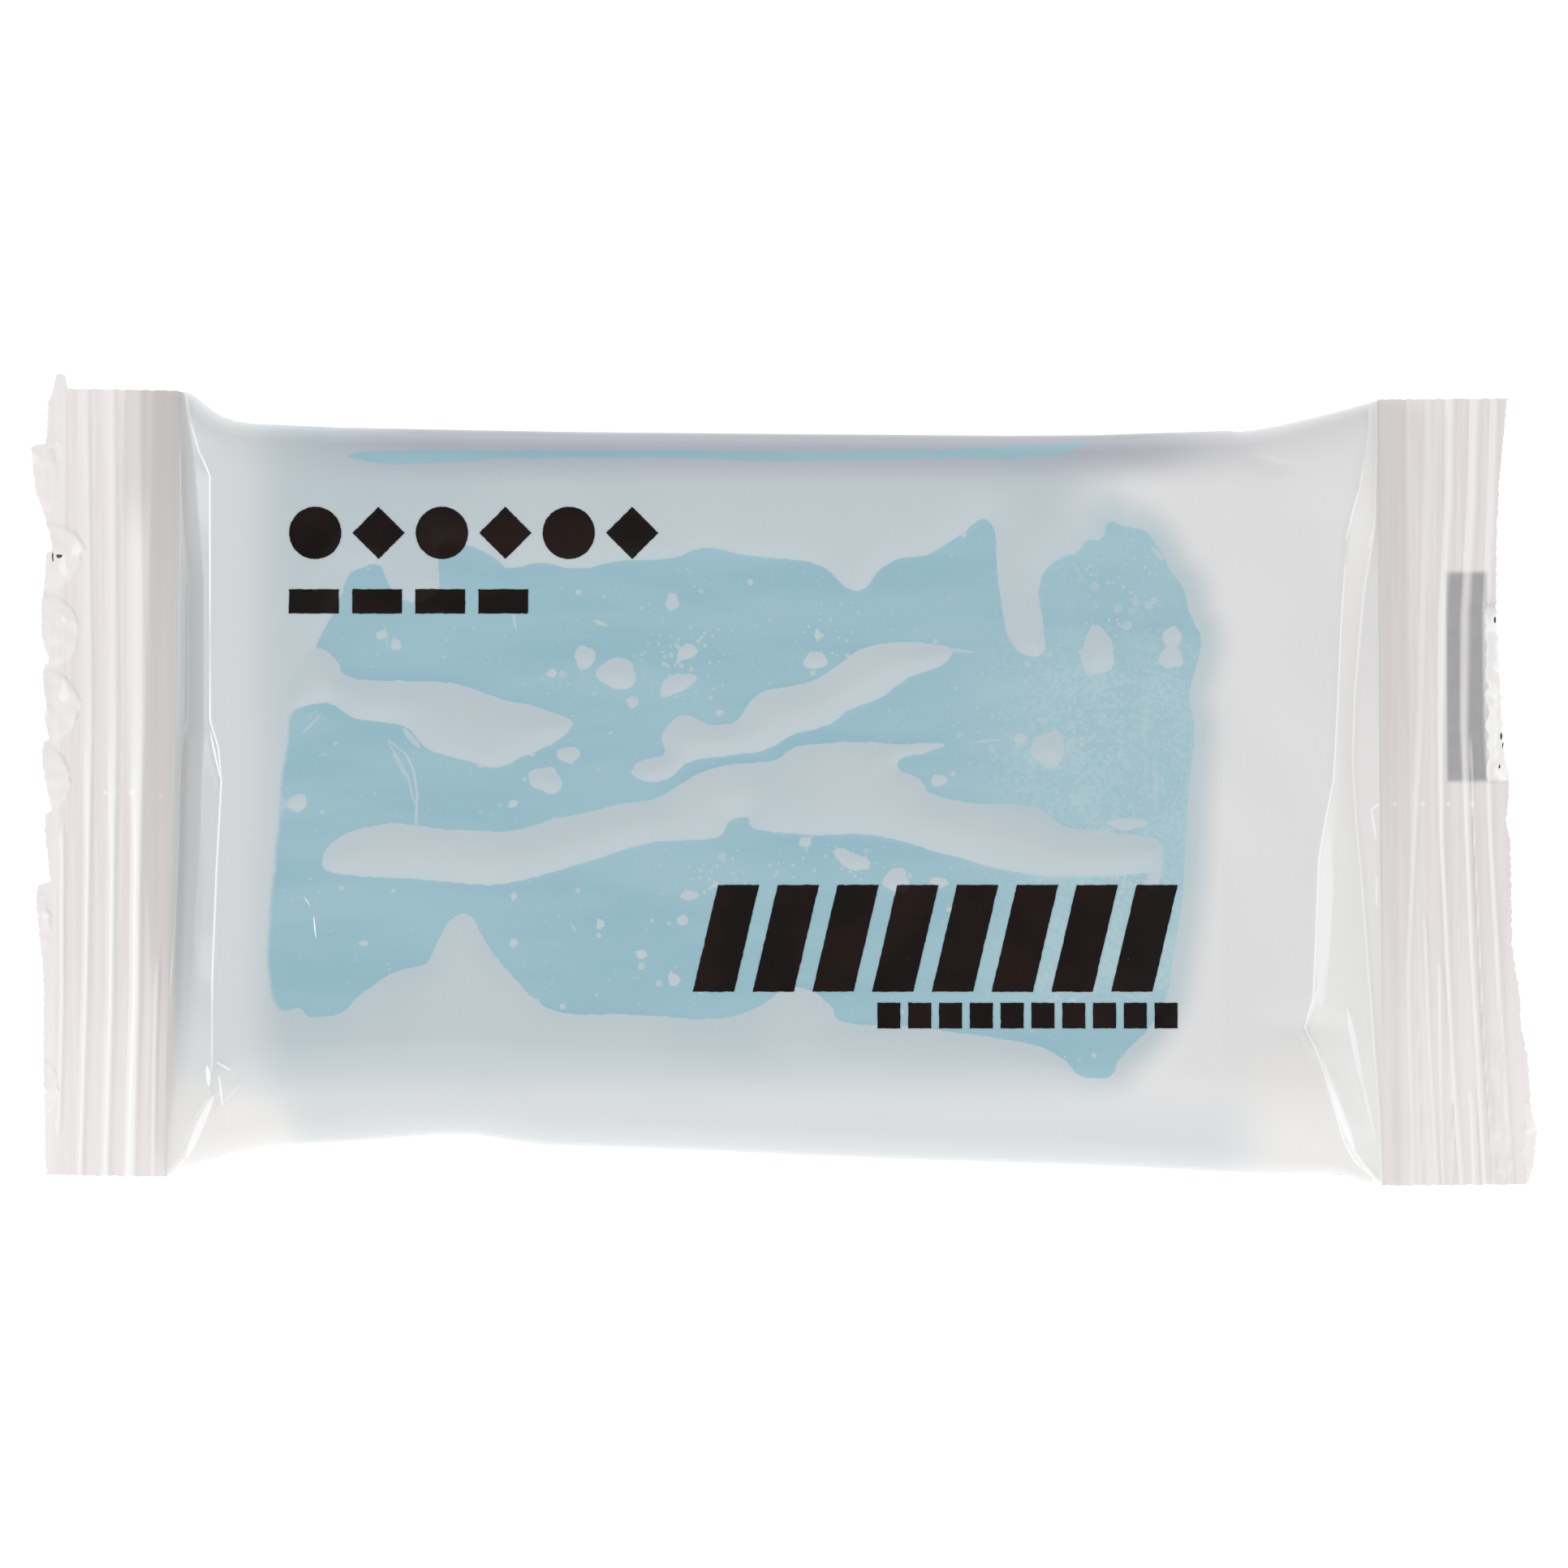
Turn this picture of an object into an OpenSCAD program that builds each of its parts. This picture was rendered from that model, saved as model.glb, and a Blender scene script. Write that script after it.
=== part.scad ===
// Clay bar for car paint, sealed in a flow-wrapped pillow pack.
// The pack lies on its back on z = 0, front panel up, length along X.
// One web of film is folded into a tube round the clay. Its two long edges are welded
// into a fin along the back, and both ends of the tube are crimped flat.

/* [Pack] */
// Length of the pack over its two cut edges
pack_l = 136.2; // [136.2:0.2:146]
// Width of the film tube pressed flat, which is the width of each end seal
flat_w = 71; // [70.6:0.2:74]
// Height of the pack over the clay
pack_h = 13; // [13:0.1:17]
// Height of the side folds and end seals above the table
fold_z = 6.2; // [5.8:0.1:7]
// Thickness of one layer of film
film_t = 0.2; // [0.15:0.01:0.25]

/* [Clay] */
// Length of the clay bar
clay_l = 90; // [70:0.5:90]
// Width of the clay bar
clay_w = 58; // [46:0.5:58]
// Thickness of the clay bar
clay_t = 12.3; // [9:0.1:12.3]
// Radius of the clay's worn edges
clay_r = 4.5; // [4:0.5:4.5]

/* [End seals] */
// Width of the left crimped band
left_band = 10.2; // [9:0.1:10.6]
// Width of the right crimped band
right_band = 10.4; // [9:0.1:10.5]
// Distance from one left crimp ridge to the next
left_pitch = 2.5; // [2:0.05:2.8]
// Distance from one right crimp ridge to the next
right_pitch = 2.15; // [1.9:0.05:2.6]
// Height of a crimp ridge from trough to crest
crimp_depth = 0.5; // [0.2:0.05:0.8]

/* [Fin seal] */
// Width of the fin, from its root to its free edge
fin_w = 11.5; // [9:0.5:13]
// Position of the fin's root across the back
fin_y = -1.6; // [-4:0.1:1]

/* [Print] */
// Thickness of the printed ink
ink_t = 0.06; // [0.05:0.01:0.1]

/* [Hidden] */

film_white = [0.90, 0.89, 0.89];
clay_blue = [0.60, 0.77, 0.83];
ink_black = [0.13, 0.10, 0.09];
mark_grey = [0.35, 0.35, 0.36];

// The ragged edge reaches this far past the inner edge of each seal.
left_reach = 12.8;
right_reach = 14.2;
left_x = -pack_l / 2 + left_reach;
right_x = pack_l / 2 - right_reach;
tube_l = right_x - left_x;

// The tube runs in a little askew, so the seals sit off centre and off square.
left_y = -0.2;
right_y = -1;
left_turn = -1;
right_turn = 0.5;

// The clay has slid to the left and lies against the upper fold.
clay_gap = 0.05;
clay_x = -5.6;
clay_y = 1.3;
clay_z = film_t + clay_gap;

// How far each side fold is drawn in, as a share of its waist, along the tube from 0 to 1.
upper_waist = 3.6;
upper_draw = [[0, 0], [0.02, 0.1], [0.052, 0.8], [0.46, 1], [0.885, 0.81], [1, 0]];
lower_waist = 4.1;
lower_draw = [
    [0, 0], [0.08, 0.66], [0.22, 1], [0.39, 0.8], [0.6, 0.61],
    [0.73, 0.36], [0.865, 0.26], [0.96, 0.28], [1, 0]
];
// How far the film has risen from the seal's level, by distance from each seal's inner edge.
left_rise = [[0, 0], [1.7, 0.14], [3.2, 0.9], [4, 0.98], [5.6, 1]];
right_rise = [[0, 0], [1.8, 0.2], [4.8, 0.62], [9, 0.84], [13, 0.98], [16, 1]];

// The film bends tightly round the clay at the upper fold and hangs loose at the lower one.
upper_bend = 4.6;
lower_bend = 9;
upper_power = 3;
lower_power = 2;
bend_steps = 5;
flat_steps = 4;

// Stations along the tube, closer together where the film rises.
stations = [
    0, 0.008, 0.0155, 0.023, 0.03, 0.038, 0.052, 0.08, 0.15, 0.22, 0.3, 0.39,
    0.5, 0.6, 0.73, 0.8, 0.84, 0.876, 0.917, 0.955, 0.983, 1
];

function blend(a, b, s) = a + (b - a) * s;
function centre_y(s) = blend(left_y, right_y, s);
function upper_y(s) = centre_y(s) + flat_w / 2 - upper_waist * lookup(s, upper_draw);
function lower_y(s) = centre_y(s) - flat_w / 2 + lower_waist * lookup(s, lower_draw);
function slant(s) = blend(tan(-left_turn), tan(-right_turn), s);
function rise(s) = min(lookup(s * tube_l, left_rise), lookup((1 - s) * tube_l, right_rise));

// A bend's way in from the fold and its share of the height, at an angle from 0 to 90.
function bend_in(angle, reach, power) = reach * (1 - pow(cos(angle), 2 / power));
function bend_up(angle, power) = pow(max(sin(angle), 0), 2 / power);

// Points [y, share of the height] from the upper fold inwards, and from the lower fold inwards.
function upper_bend_points(y) = [
    for (i = [0:bend_steps]) let (a = 90 * i / bend_steps)
        [y - bend_in(a, upper_bend, upper_power), bend_up(a, upper_power)]
];
function lower_bend_points(y) = [
    for (i = [bend_steps:-1:0]) let (a = 90 * i / bend_steps)
        [y + bend_in(a, lower_bend, lower_power), bend_up(a, lower_power)]
];
function flat_points(y_from, y_to) = [
    for (i = [1:flat_steps - 1]) [blend(y_from, y_to, i / flat_steps), 1]
];
// A whole panel's section, from fold to fold, drawn in by inset at both folds.
function panel_section(s, inset) = concat(
    upper_bend_points(upper_y(s) - inset),
    flat_points(upper_y(s) - inset - upper_bend, lower_y(s) + inset + lower_bend),
    lower_bend_points(lower_y(s) + inset)
);

// One layer of film between two grids of points, rows along the tube and columns across it.
module film_sheet(outer, inner) {
    rows = len(outer);
    cols = len(outer[0]);
    count = rows * cols;
    points = concat([for (r = outer) each r], [for (r = inner) each r]);
    function at(r, c, side) = side * count + r * cols + c;
    skins = [
        for (r = [0:rows - 2], c = [0:cols - 2]) each [
            [at(r, c, 0), at(r + 1, c, 0), at(r + 1, c + 1, 0)],
            [at(r, c, 0), at(r + 1, c + 1, 0), at(r, c + 1, 0)],
            [at(r, c, 1), at(r + 1, c + 1, 1), at(r + 1, c, 1)],
            [at(r, c, 1), at(r, c + 1, 1), at(r + 1, c + 1, 1)]
        ]
    ];
    long_rims = [
        for (r = [0:rows - 2]) each [
            [at(r, 0, 0), at(r, 0, 1), at(r + 1, 0, 1)],
            [at(r, 0, 0), at(r + 1, 0, 1), at(r + 1, 0, 0)],
            [at(r, cols - 1, 0), at(r + 1, cols - 1, 1), at(r, cols - 1, 1)],
            [at(r, cols - 1, 0), at(r + 1, cols - 1, 0), at(r + 1, cols - 1, 1)]
        ]
    ];
    short_rims = [
        for (c = [0:cols - 2]) each [
            [at(0, c, 0), at(0, c + 1, 1), at(0, c, 1)],
            [at(0, c, 0), at(0, c + 1, 0), at(0, c + 1, 1)],
            [at(rows - 1, c, 0), at(rows - 1, c, 1), at(rows - 1, c + 1, 1)],
            [at(rows - 1, c, 0), at(rows - 1, c + 1, 1), at(rows - 1, c + 1, 0)]
        ]
    ];
    polyhedron(points, concat(skins, long_rims, short_rims));
}

// The grid of one film surface: way is 1 for the front panel and -1 for the back, depth is how
// far it stands from the folds over the clay, and lift raises the back panel over the fin.
function film_grid(sections, way, thick, depth, lift) = [
    for (i = [0:len(stations) - 1]) let (s = stations[i]) [
        for (p = sections[i])
            [
                blend(left_x, right_x, s) + slant(s) * p[0],
                p[0],
                fold_z + way * (thick + depth * rise(s)) * p[1] + lift(p[0]) * rise(s)
            ]
    ]
];

no_lift = function(y) 0;
fin_edge_y = fin_y + fin_w;
fin_ease = 1;
// The upper back panel lies on the fin, which presses it into the soft clay.
fin_lift = function(y) 2 * film_t * (y <= fin_edge_y + 0.01 ? 1
    : y >= fin_edge_y + fin_ease - 0.01 ? 0 : (fin_edge_y + fin_ease - y) / fin_ease);

module clay_bar() {
    x = clay_l / 2 - clay_r;
    y = clay_w / 2 - clay_r;
    z = clay_t - 2 * clay_r;
    groove = 2 * film_t + clay_gap;
    color(clay_blue) difference() {
        translate([clay_x, clay_y, clay_z + clay_r]) hull()
            for (i = [-x, x], j = [-y, y], k = [0, z]) translate([i, j, k]) sphere(r = clay_r, $fn = 28);
        // The fin's impression along the bar's back.
        translate([clay_x - clay_l / 2 - 1, fin_y - fin_ease, clay_z - 1])
            cube([clay_l + 2, fin_w + 2 * fin_ease, 1 + groove]);
    }
}

module front_film() {
    depth = pack_h - fold_z - film_t;
    outer = [for (s = stations) panel_section(s, 0)];
    inner = [for (s = stations) panel_section(s, film_t)];
    color(film_white) film_sheet(
        film_grid(outer, 1, film_t, depth, no_lift),
        film_grid(inner, 1, 0, depth, no_lift)
    );
}

// The half of the back panel between the upper fold and the fin's root.
function upper_back_section(s, inset) = concat(
    upper_bend_points(upper_y(s) - inset),
    [for (y = [fin_edge_y + fin_ease, fin_edge_y, fin_edge_y - fin_w / 2, fin_y]) [y, 1]]
);
// The half of the back panel between the fin's root and the lower fold.
function lower_back_section(s, inset) = concat(
    [for (y = [fin_y, fin_y - 7, fin_y - 14]) [y, 1]],
    lower_bend_points(lower_y(s) + inset)
);

module back_panel(outer, inner, lift) {
    depth = fold_z - film_t;
    // Turned inside out against the front panel, so inner and outer change places.
    color(film_white) film_sheet(
        film_grid(inner, -1, 0, depth, lift),
        film_grid(outer, -1, film_t, depth, lift)
    );
}

module back_film_upper() {
    outer = [for (s = stations) upper_back_section(s, 0)];
    inner = [for (s = stations) upper_back_section(s, film_t)];
    back_panel(outer, inner, fin_lift);
}

module back_film_lower() {
    outer = [for (s = stations) lower_back_section(s, 0)];
    inner = [for (s = stations) lower_back_section(s, film_t)];
    back_panel(outer, inner, no_lift);
}

// The level of the back film along the fin's root, and of the fin's upper face under it.
function back_z(s) = fold_z - film_t - (fold_z - film_t) * rise(s);
function fin_top_z(s) = back_z(s) + 2 * film_t * rise(s);

module fin_seal() {
    function at_x(s) = blend(left_x, right_x, s);
    upper_line = [for (s = stations) [at_x(s), fin_top_z(s)]];
    lower_line = [
        for (i = [len(stations) - 1:-1:0]) let (s = stations[i])
            [at_x(s), fin_top_z(s) - 2 * film_t]
    ];
    color(film_white) translate([0, fin_edge_y, 0]) rotate([90, 0, 0])
        linear_extrude(height = fin_w) polygon(concat(upper_line, lower_line));
}

// The crimp's wave across the band. It starts flat beside the pouch and stops past the band.
crimp_start = 0.7;
crimp_samples = 6;
function crimp_z(d, band, pitch) = d < crimp_start || d > band ? 0
    : crimp_depth / 2 * (1 - cos(360 * (d - crimp_start) / pitch)) - crimp_depth / 4;

// A corrugated plate, half a thickness either side of level, from the inner edge outwards.
module crimped_plate(band, pitch, reach, half_t, level, y_low, y_high) {
    step = pitch / crimp_samples;
    ds = concat([0], [for (d = [crimp_start:step:band]) d], [band + step, reach]);
    top = [for (d = ds) [d, level + crimp_z(d, band, pitch) + half_t]];
    under = [
        for (i = [len(ds) - 1:-1:0]) [ds[i], level + crimp_z(ds[i], band, pitch) - half_t]
    ];
    translate([0, y_high, 0]) rotate([90, 0, 0])
        linear_extrude(height = y_high - y_low) polygon(concat(top, under));
}

// Front and back film welded together, with the fin's two layers pressed in under them.
weld_overlap = 0.02;
module welded_layers(band, pitch, reach, fin_low) {
    crimped_plate(band, pitch, reach, film_t, 0, -flat_w / 2 - 2, flat_w / 2 + 2);
    crimped_plate(band, pitch, reach, film_t, weld_overlap - 2 * film_t, fin_low, fin_low + fin_w);
}

seal_clear = 3;
module cut_to(outline) {
    intersection() {
        children();
        translate([0, 0, -seal_clear]) linear_extrude(height = 2 * seal_clear) polygon(outline);
    }
}

// Cut outlines, as distance out from the seal's inner edge and height across the pack.
half_flat = flat_w / 2;
left_outline = [
    [0, half_flat], [10.9, half_flat + 0.3], [11.3, half_flat + 1.3], [11.8, 34.2], [11.9, 30.5],
    [13.3, 30.3], [12.8, 26.2], [12, 24.2], [11.2, 21.4], [11.2, 20.9], [11.7, 20.7], [12.1, 15.7],
    [11.2, 10.7], [11.8, 10.6], [11.4, 6.6], [11.7, 6.4], [11.2, 3.8], [11.7, 3.6], [11.8, 1.7],
    [10.8, -2.7], [11.4, -2.9], [11.4, -4.8], [10.8, -9.2], [12, -9.3], [12.1, -10.8],
    [11.3, -17.8], [11.2, -24.8], [10.7, -34.8], [0, -half_flat]
];
right_outline = [
    [0, half_flat], [11.8, half_flat], [11.4, 32], [11, 28], [10.7, 23], [10.6, 16], [10.9, 9],
    [11.2, 3], [11.6, 2], [11.6, -0.5], [11.3, -2.5], [11.7, -4.5], [11.8, -14], [12.5, -19],
    [12.5, -21], [13.1, -24], [13.4, -29], [13.9, -30.8], [13.5, -34], [12.9, -half_flat + 0.4],
    [8, -half_flat + 0.1], [0, -half_flat]
];

module left_end_seal() {
    color(film_white) translate([left_x, left_y, fold_z]) rotate([0, 0, left_turn])
        mirror([1, 0, 0]) cut_to(left_outline)
            welded_layers(left_band, left_pitch, left_reach + 1, fin_y - left_y);
}

module right_end_seal() {
    color(film_white) translate([right_x, right_y, fold_z]) rotate([0, 0, right_turn])
        cut_to(right_outline)
            welded_layers(right_band, right_pitch, right_reach + 1, fin_y - right_y);
}

// One plain printed shape, centred in a cell of the given width and height.
module print_shape(kind, w, h) {
    if (kind == "disc") circle(d = h, $fn = 40);
    if (kind == "diamond") polygon([[-w / 2, 0], [0, -h / 2], [w / 2, 0], [0, h / 2]]);
    if (kind == "dash") square([w, h * 0.42], center = true);
    if (kind == "tile") square([w, h], center = true);
    if (kind == "slant") polygon([
        [-w / 2, -h / 2], [w * 0.12, -h / 2], [w / 2, h / 2], [-w * 0.12, h / 2]
    ]);
}

// An even row of printed shapes from x to x + length, with its lower edge at y.
module print_row(kinds, x, y, length, h, gap) {
    w = (length - gap * (len(kinds) - 1)) / len(kinds);
    color(ink_black) translate([x, y + h / 2, pack_h]) linear_extrude(height = ink_t)
        for (i = [0:len(kinds) - 1])
            translate([w / 2 + i * (w + gap), 0]) print_shape(kinds[i], w, h);
}

// The two upper rows start at print_left and the two lower rows end at print_right.
print_left = -44.5;
print_right = 35.4;
module title_print() {
    shapes = ["disc", "diamond", "disc", "diamond", "disc", "diamond"];
    print_row(shapes, x = print_left, y = 20, length = 33.2, h = 4.7, gap = 1);
}

module subtitle_print() {
    shapes = [for (i = [1:4]) "dash"];
    print_row(shapes, x = print_left, y = 13.6, length = 21.5, h = 5.2, gap = 1.2);
}

module emblem_print() {
    shapes = [for (i = [1:8]) "slant"];
    length = 43.6;
    print_row(shapes, x = print_right - length, y = -18.9, length = length, h = 9.6, gap = -0.6);
}

module tagline_print() {
    shapes = [for (i = [1:10]) "tile"];
    length = 27;
    print_row(shapes, x = print_right - length, y = -22.2, length = length, h = 2.3, gap = 0.7);
}

// The dark mark that the wrapping machine's sensor reads is printed on the right seal's back.
mark_top = 20.1;
// The mark starts and ends on the crimp's own sample points, so it follows the seal exactly.
mark_first = 15;
mark_last = 25;
module eye_mark() {
    color(mark_grey) translate([right_x, right_y, fold_z]) rotate([0, 0, right_turn])
        crimped_mark(fin_y - right_y + fin_w, mark_top);
}

// A strip of ink under the right seal's corrugated layers, from beside the fin upwards.
module crimped_mark(y_low, y_high) {
    step = right_pitch / crimp_samples;
    ds = [for (i = [mark_first:mark_last]) crimp_start + i * step];
    function under(d, out) = crimp_z(d, right_band, right_pitch) - film_t - out;
    top = [for (d = ds) [d, under(d, 0)]];
    low = [for (i = [len(ds) - 1:-1:0]) [ds[i], under(ds[i], ink_t)]];
    translate([0, y_high, 0]) rotate([90, 0, 0])
        linear_extrude(height = y_high - y_low) polygon(concat(top, low));
}

clay_bar();
front_film();
back_film_upper();
back_film_lower();
fin_seal();
left_end_seal();
right_end_seal();
title_print();
subtitle_print();
emblem_print();
tagline_print();
eye_mark();
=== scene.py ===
import math

import bmesh
import bpy
import numpy as np
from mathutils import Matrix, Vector, noise


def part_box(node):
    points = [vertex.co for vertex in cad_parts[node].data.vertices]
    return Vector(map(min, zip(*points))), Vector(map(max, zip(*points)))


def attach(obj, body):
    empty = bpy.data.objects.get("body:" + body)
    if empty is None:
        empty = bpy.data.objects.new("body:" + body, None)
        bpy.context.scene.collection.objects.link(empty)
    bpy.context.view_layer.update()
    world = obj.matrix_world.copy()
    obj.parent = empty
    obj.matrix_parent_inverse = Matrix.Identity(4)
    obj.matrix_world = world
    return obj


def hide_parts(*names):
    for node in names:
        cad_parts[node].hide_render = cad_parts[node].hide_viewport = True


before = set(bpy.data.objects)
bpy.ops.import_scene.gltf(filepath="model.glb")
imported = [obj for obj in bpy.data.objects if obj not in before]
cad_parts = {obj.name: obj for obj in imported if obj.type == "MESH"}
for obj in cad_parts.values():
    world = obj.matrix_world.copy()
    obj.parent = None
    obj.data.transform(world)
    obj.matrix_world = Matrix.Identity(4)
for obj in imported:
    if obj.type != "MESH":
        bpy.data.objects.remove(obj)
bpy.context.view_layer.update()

# A clay bar in its flow-wrapped sachet. Lengths are in millimetres, turned to metres by MM
# when a mesh is placed. X runs along the sachet, Y across it and Z up out of its front.

MM = 0.001


# ---- sizes

def box_mm(node):
    """A node's lowest and highest corners in millimetres."""
    low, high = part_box(node)
    return [c / MM for c in low], [c / MM for c in high]


film_low, film_high = box_mm("front_film")
fin_low, fin_high = box_mm("fin_seal")
clay_low, clay_high = box_mm("clay_bar")

FOLD_Z = film_low[2]
TOP_Z = film_high[2]
LEFT_X, RIGHT_X = fin_low[0], fin_high[0]
FIN_Y, FIN_EDGE_Y = fin_low[1], fin_high[1]
TUBE_L = RIGHT_X - LEFT_X
RISE_H = TOP_Z - FOLD_Z

# Half the width of the flattened tube, and each end seal's middle and lean.
HALF_FLAT = 35.5
LEFT_Y, RIGHT_Y = -0.2, -1.0
LEFT_LEAN, RIGHT_LEAN = math.tan(math.radians(1)), math.tan(math.radians(-0.5))
# Thicknesses of the film, of a weld and of the fin, where it lies and as it is drawn.
FILM_T = 0.09
WELD_T = 0.16
FIN_T, FIN_WALL = 0.3, 0.2
# How far in from its fold each bend reaches, and how square its section is.
UPPER_BEND, LOWER_BEND = 4.6, 9.0
UPPER_POWER, LOWER_POWER = 3, 2
# The share of a panel's grid rows that each bend takes.
LOWER_SHARE, UPPER_SHARE = 0.17, 0.13
# Heights of the air pockets, of the crimp and of the fin's ribs, and how the inks lie.
POCKET_LIFT = 0.42
CRIMP_H = 0.4
RIB_H, RIB_PITCH = 0.09, 1.2
INK_LIFT, INK_T = 0.03, 0.025
MARK_GAP, MARK_T = 0.04, 0.03

# The folds, seen from above: where the tube's two side edges lie.
UPPER_FOLD = [
    (-55.3, 35.3), (-53.5, 35.1), (-52.5, 34.2), (-51.5, 33.4), (-50, 32.6), (-48, 32.3),
    (-40, 31.95), (-20, 31.57), (0, 31.38), (20, 31.22), (28, 31.27), (40, 31.67), (41.5, 31.55),
    (45, 32.2), (50, 33.4), (53.9, 34.5)
]
LOWER_FOLD = [
    (-55.9, -35.7), (-54, -35), (-52, -34.4), (-50, -33.8), (-45, -32.8), (-40, -32.55),
    (-31, -31.85), (-28, -31.85), (-22, -32.8), (-8, -33.3), (10, -34.1), (30, -34.75),
    (45, -35.5), (50, -35.4), (52, -36.1), (54.2, -36.5)
]

# ---- wet patches
# Where the clay has wetted the film from inside, as closed curves seen from above.

WET = [
    (-44.7, 3), (-44.4, 6), (-43.6, 9), (-42.4, 11.6), (-41.5, 13.4), (-40.2, 15.8), (-39.1, 18.6),
    (-38, 19.1), (-37.2, 19.5), (-36.3, 19.3), (-35.5, 17.8), (-34.4, 16.5), (-33, 16.2),
    (-31.2, 17.1), (-31.1, 20), (-30.8, 21.6), (-29, 21.4), (-27, 20.7), (-25.8, 20),
    (-24.8, 19.2), (-22, 19.7), (-18.4, 19.15), (-15, 19.8), (-10, 20.1), (-8.4, 20.7),
    (-6.4, 21), (-3.5, 20.3), (0, 20), (3, 19.5), (4.6, 18.4), (6, 17.2), (7.3, 17.3),
    (8.6, 19), (10.2, 20), (12.8, 20.4), (15, 21.6), (16.4, 22.6), (17.8, 23.65), (18.9, 22.7),
    (19.15, 19.5), (19.5, 16), (20.2, 12.9), (21.4, 11.5), (22.8, 11.2), (23.5, 12),
    (23.2, 15), (22.9, 17.2), (23.6, 19.2), (25.4, 20.4), (26.4, 20.5), (27.2, 21.7),
    (28.7, 21.7), (29.1, 23.4), (30.6, 22.9), (32.3, 22.6), (33.7, 21), (34.7, 19), (36, 17.4),
    (36.5, 15), (37.5, 13), (37.1, 10.5), (36.4, 7.6), (36.9, 5), (36.7, 2), (36.2, -3),
    (36, -8), (35.6, -12), (34.8, -17), (34.2, -20), (32.5, -22.5), (30.2, -24.8),
    (29.4, -26.5), (26.6, -26.5), (25.2, -25), (22.5, -23.7), (18, -22.9), (12, -22.1),
    (5.4, -21.7), (4.3, -20.3), (2.8, -19), (1, -18.5), (-0.6, -19), (-2.6, -20.4),
    (-5.5, -21.3), (-9.5, -21.3), (-14, -20.9), (-19, -20.9), (-22, -19.9), (-25, -16.9),
    (-27, -14.1), (-28.2, -12.1), (-29.8, -12.2), (-31.1, -14.3), (-32.2, -16.4),
    (-35, -17.1), (-38, -19), (-39.8, -20.8), (-42.6, -21.2), (-43.6, -20.3), (-45.3, -20.5),
    (-46.2, -18), (-46.3, -14), (-45.9, -9), (-45.4, -4), (-45.1, 0)
]
# Air pockets inside the wet area, as closed curves.
POCKETS = [
    [
        (-45.1, 6.4), (-44.3, 8.9), (-43, 11.4), (-41.6, 12), (-40.2, 10.9), (-39.2, 9.4),
        (-35, 9), (-30, 8.9), (-26, 7.6), (-20.5, 6.1), (-19, 5), (-20.5, 3.6), (-24, 2),
        (-26, 1.3), (-28.5, 1.9), (-32, 2.9), (-34.2, 5), (-38.5, 5.6), (-41.1, 7.1)
    ], [
        (-11, 4), (-10, 5.5), (-8.6, 6), (-6.8, 5.2), (-4.4, 5.4), (-3, 7.2), (-1.6, 8.1),
        (2.4, 9), (5, 10.6), (7.4, 12.1), (11.5, 12.5), (15, 12), (14.2, 10.5), (11, 9.2),
        (8.6, 7.5), (5.8, 6.4), (4, 5.1), (0.5, 4.1), (-1.6, 2.8), (-5, 2.4), (-8.6, 1.7),
        (-10, 0.5), (-12.2, -0.1), (-13.8, 0.8), (-12.6, 2), (-10.6, 2.4)
    ], [
        (-41.5, -7), (-40.8, -5.7), (-38.4, -4.3), (-35, -3.85), (-30, -4.3), (-25, -4.45),
        (-20, -3.3), (-15, -2.1), (-11.2, -1.4), (-7.5, 0.8), (-4, 1.6), (-0.8, 1.9), (1.2, 3.2),
        (6, 3.5), (11, 3.4), (15, 3.5), (12.8, 2.6), (10.5, 2.1), (10.4, 1), (12.2, 0.2),
        (13, -1), (16.5, -1.9), (22.3, -2.3), (25.2, -4), (29, -4.5), (33.6, -5.3), (34, -7.6),
        (33.5, -9.4), (32.4, -9.5), (32.9, -8.1), (31.4, -8.4), (25, -8.6), (20, -8),
        (14, -6.4), (8, -4.8), (2, -4.8), (-2.6, -4.2), (-3.2, -3.2), (-5, -3.6), (-6.2, -5.1),
        (-12, -5.5), (-17, -7), (-25, -9.2), (-31, -8.9), (-39, -8.4), (-41.2, -7.9)
    ]
]
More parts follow.
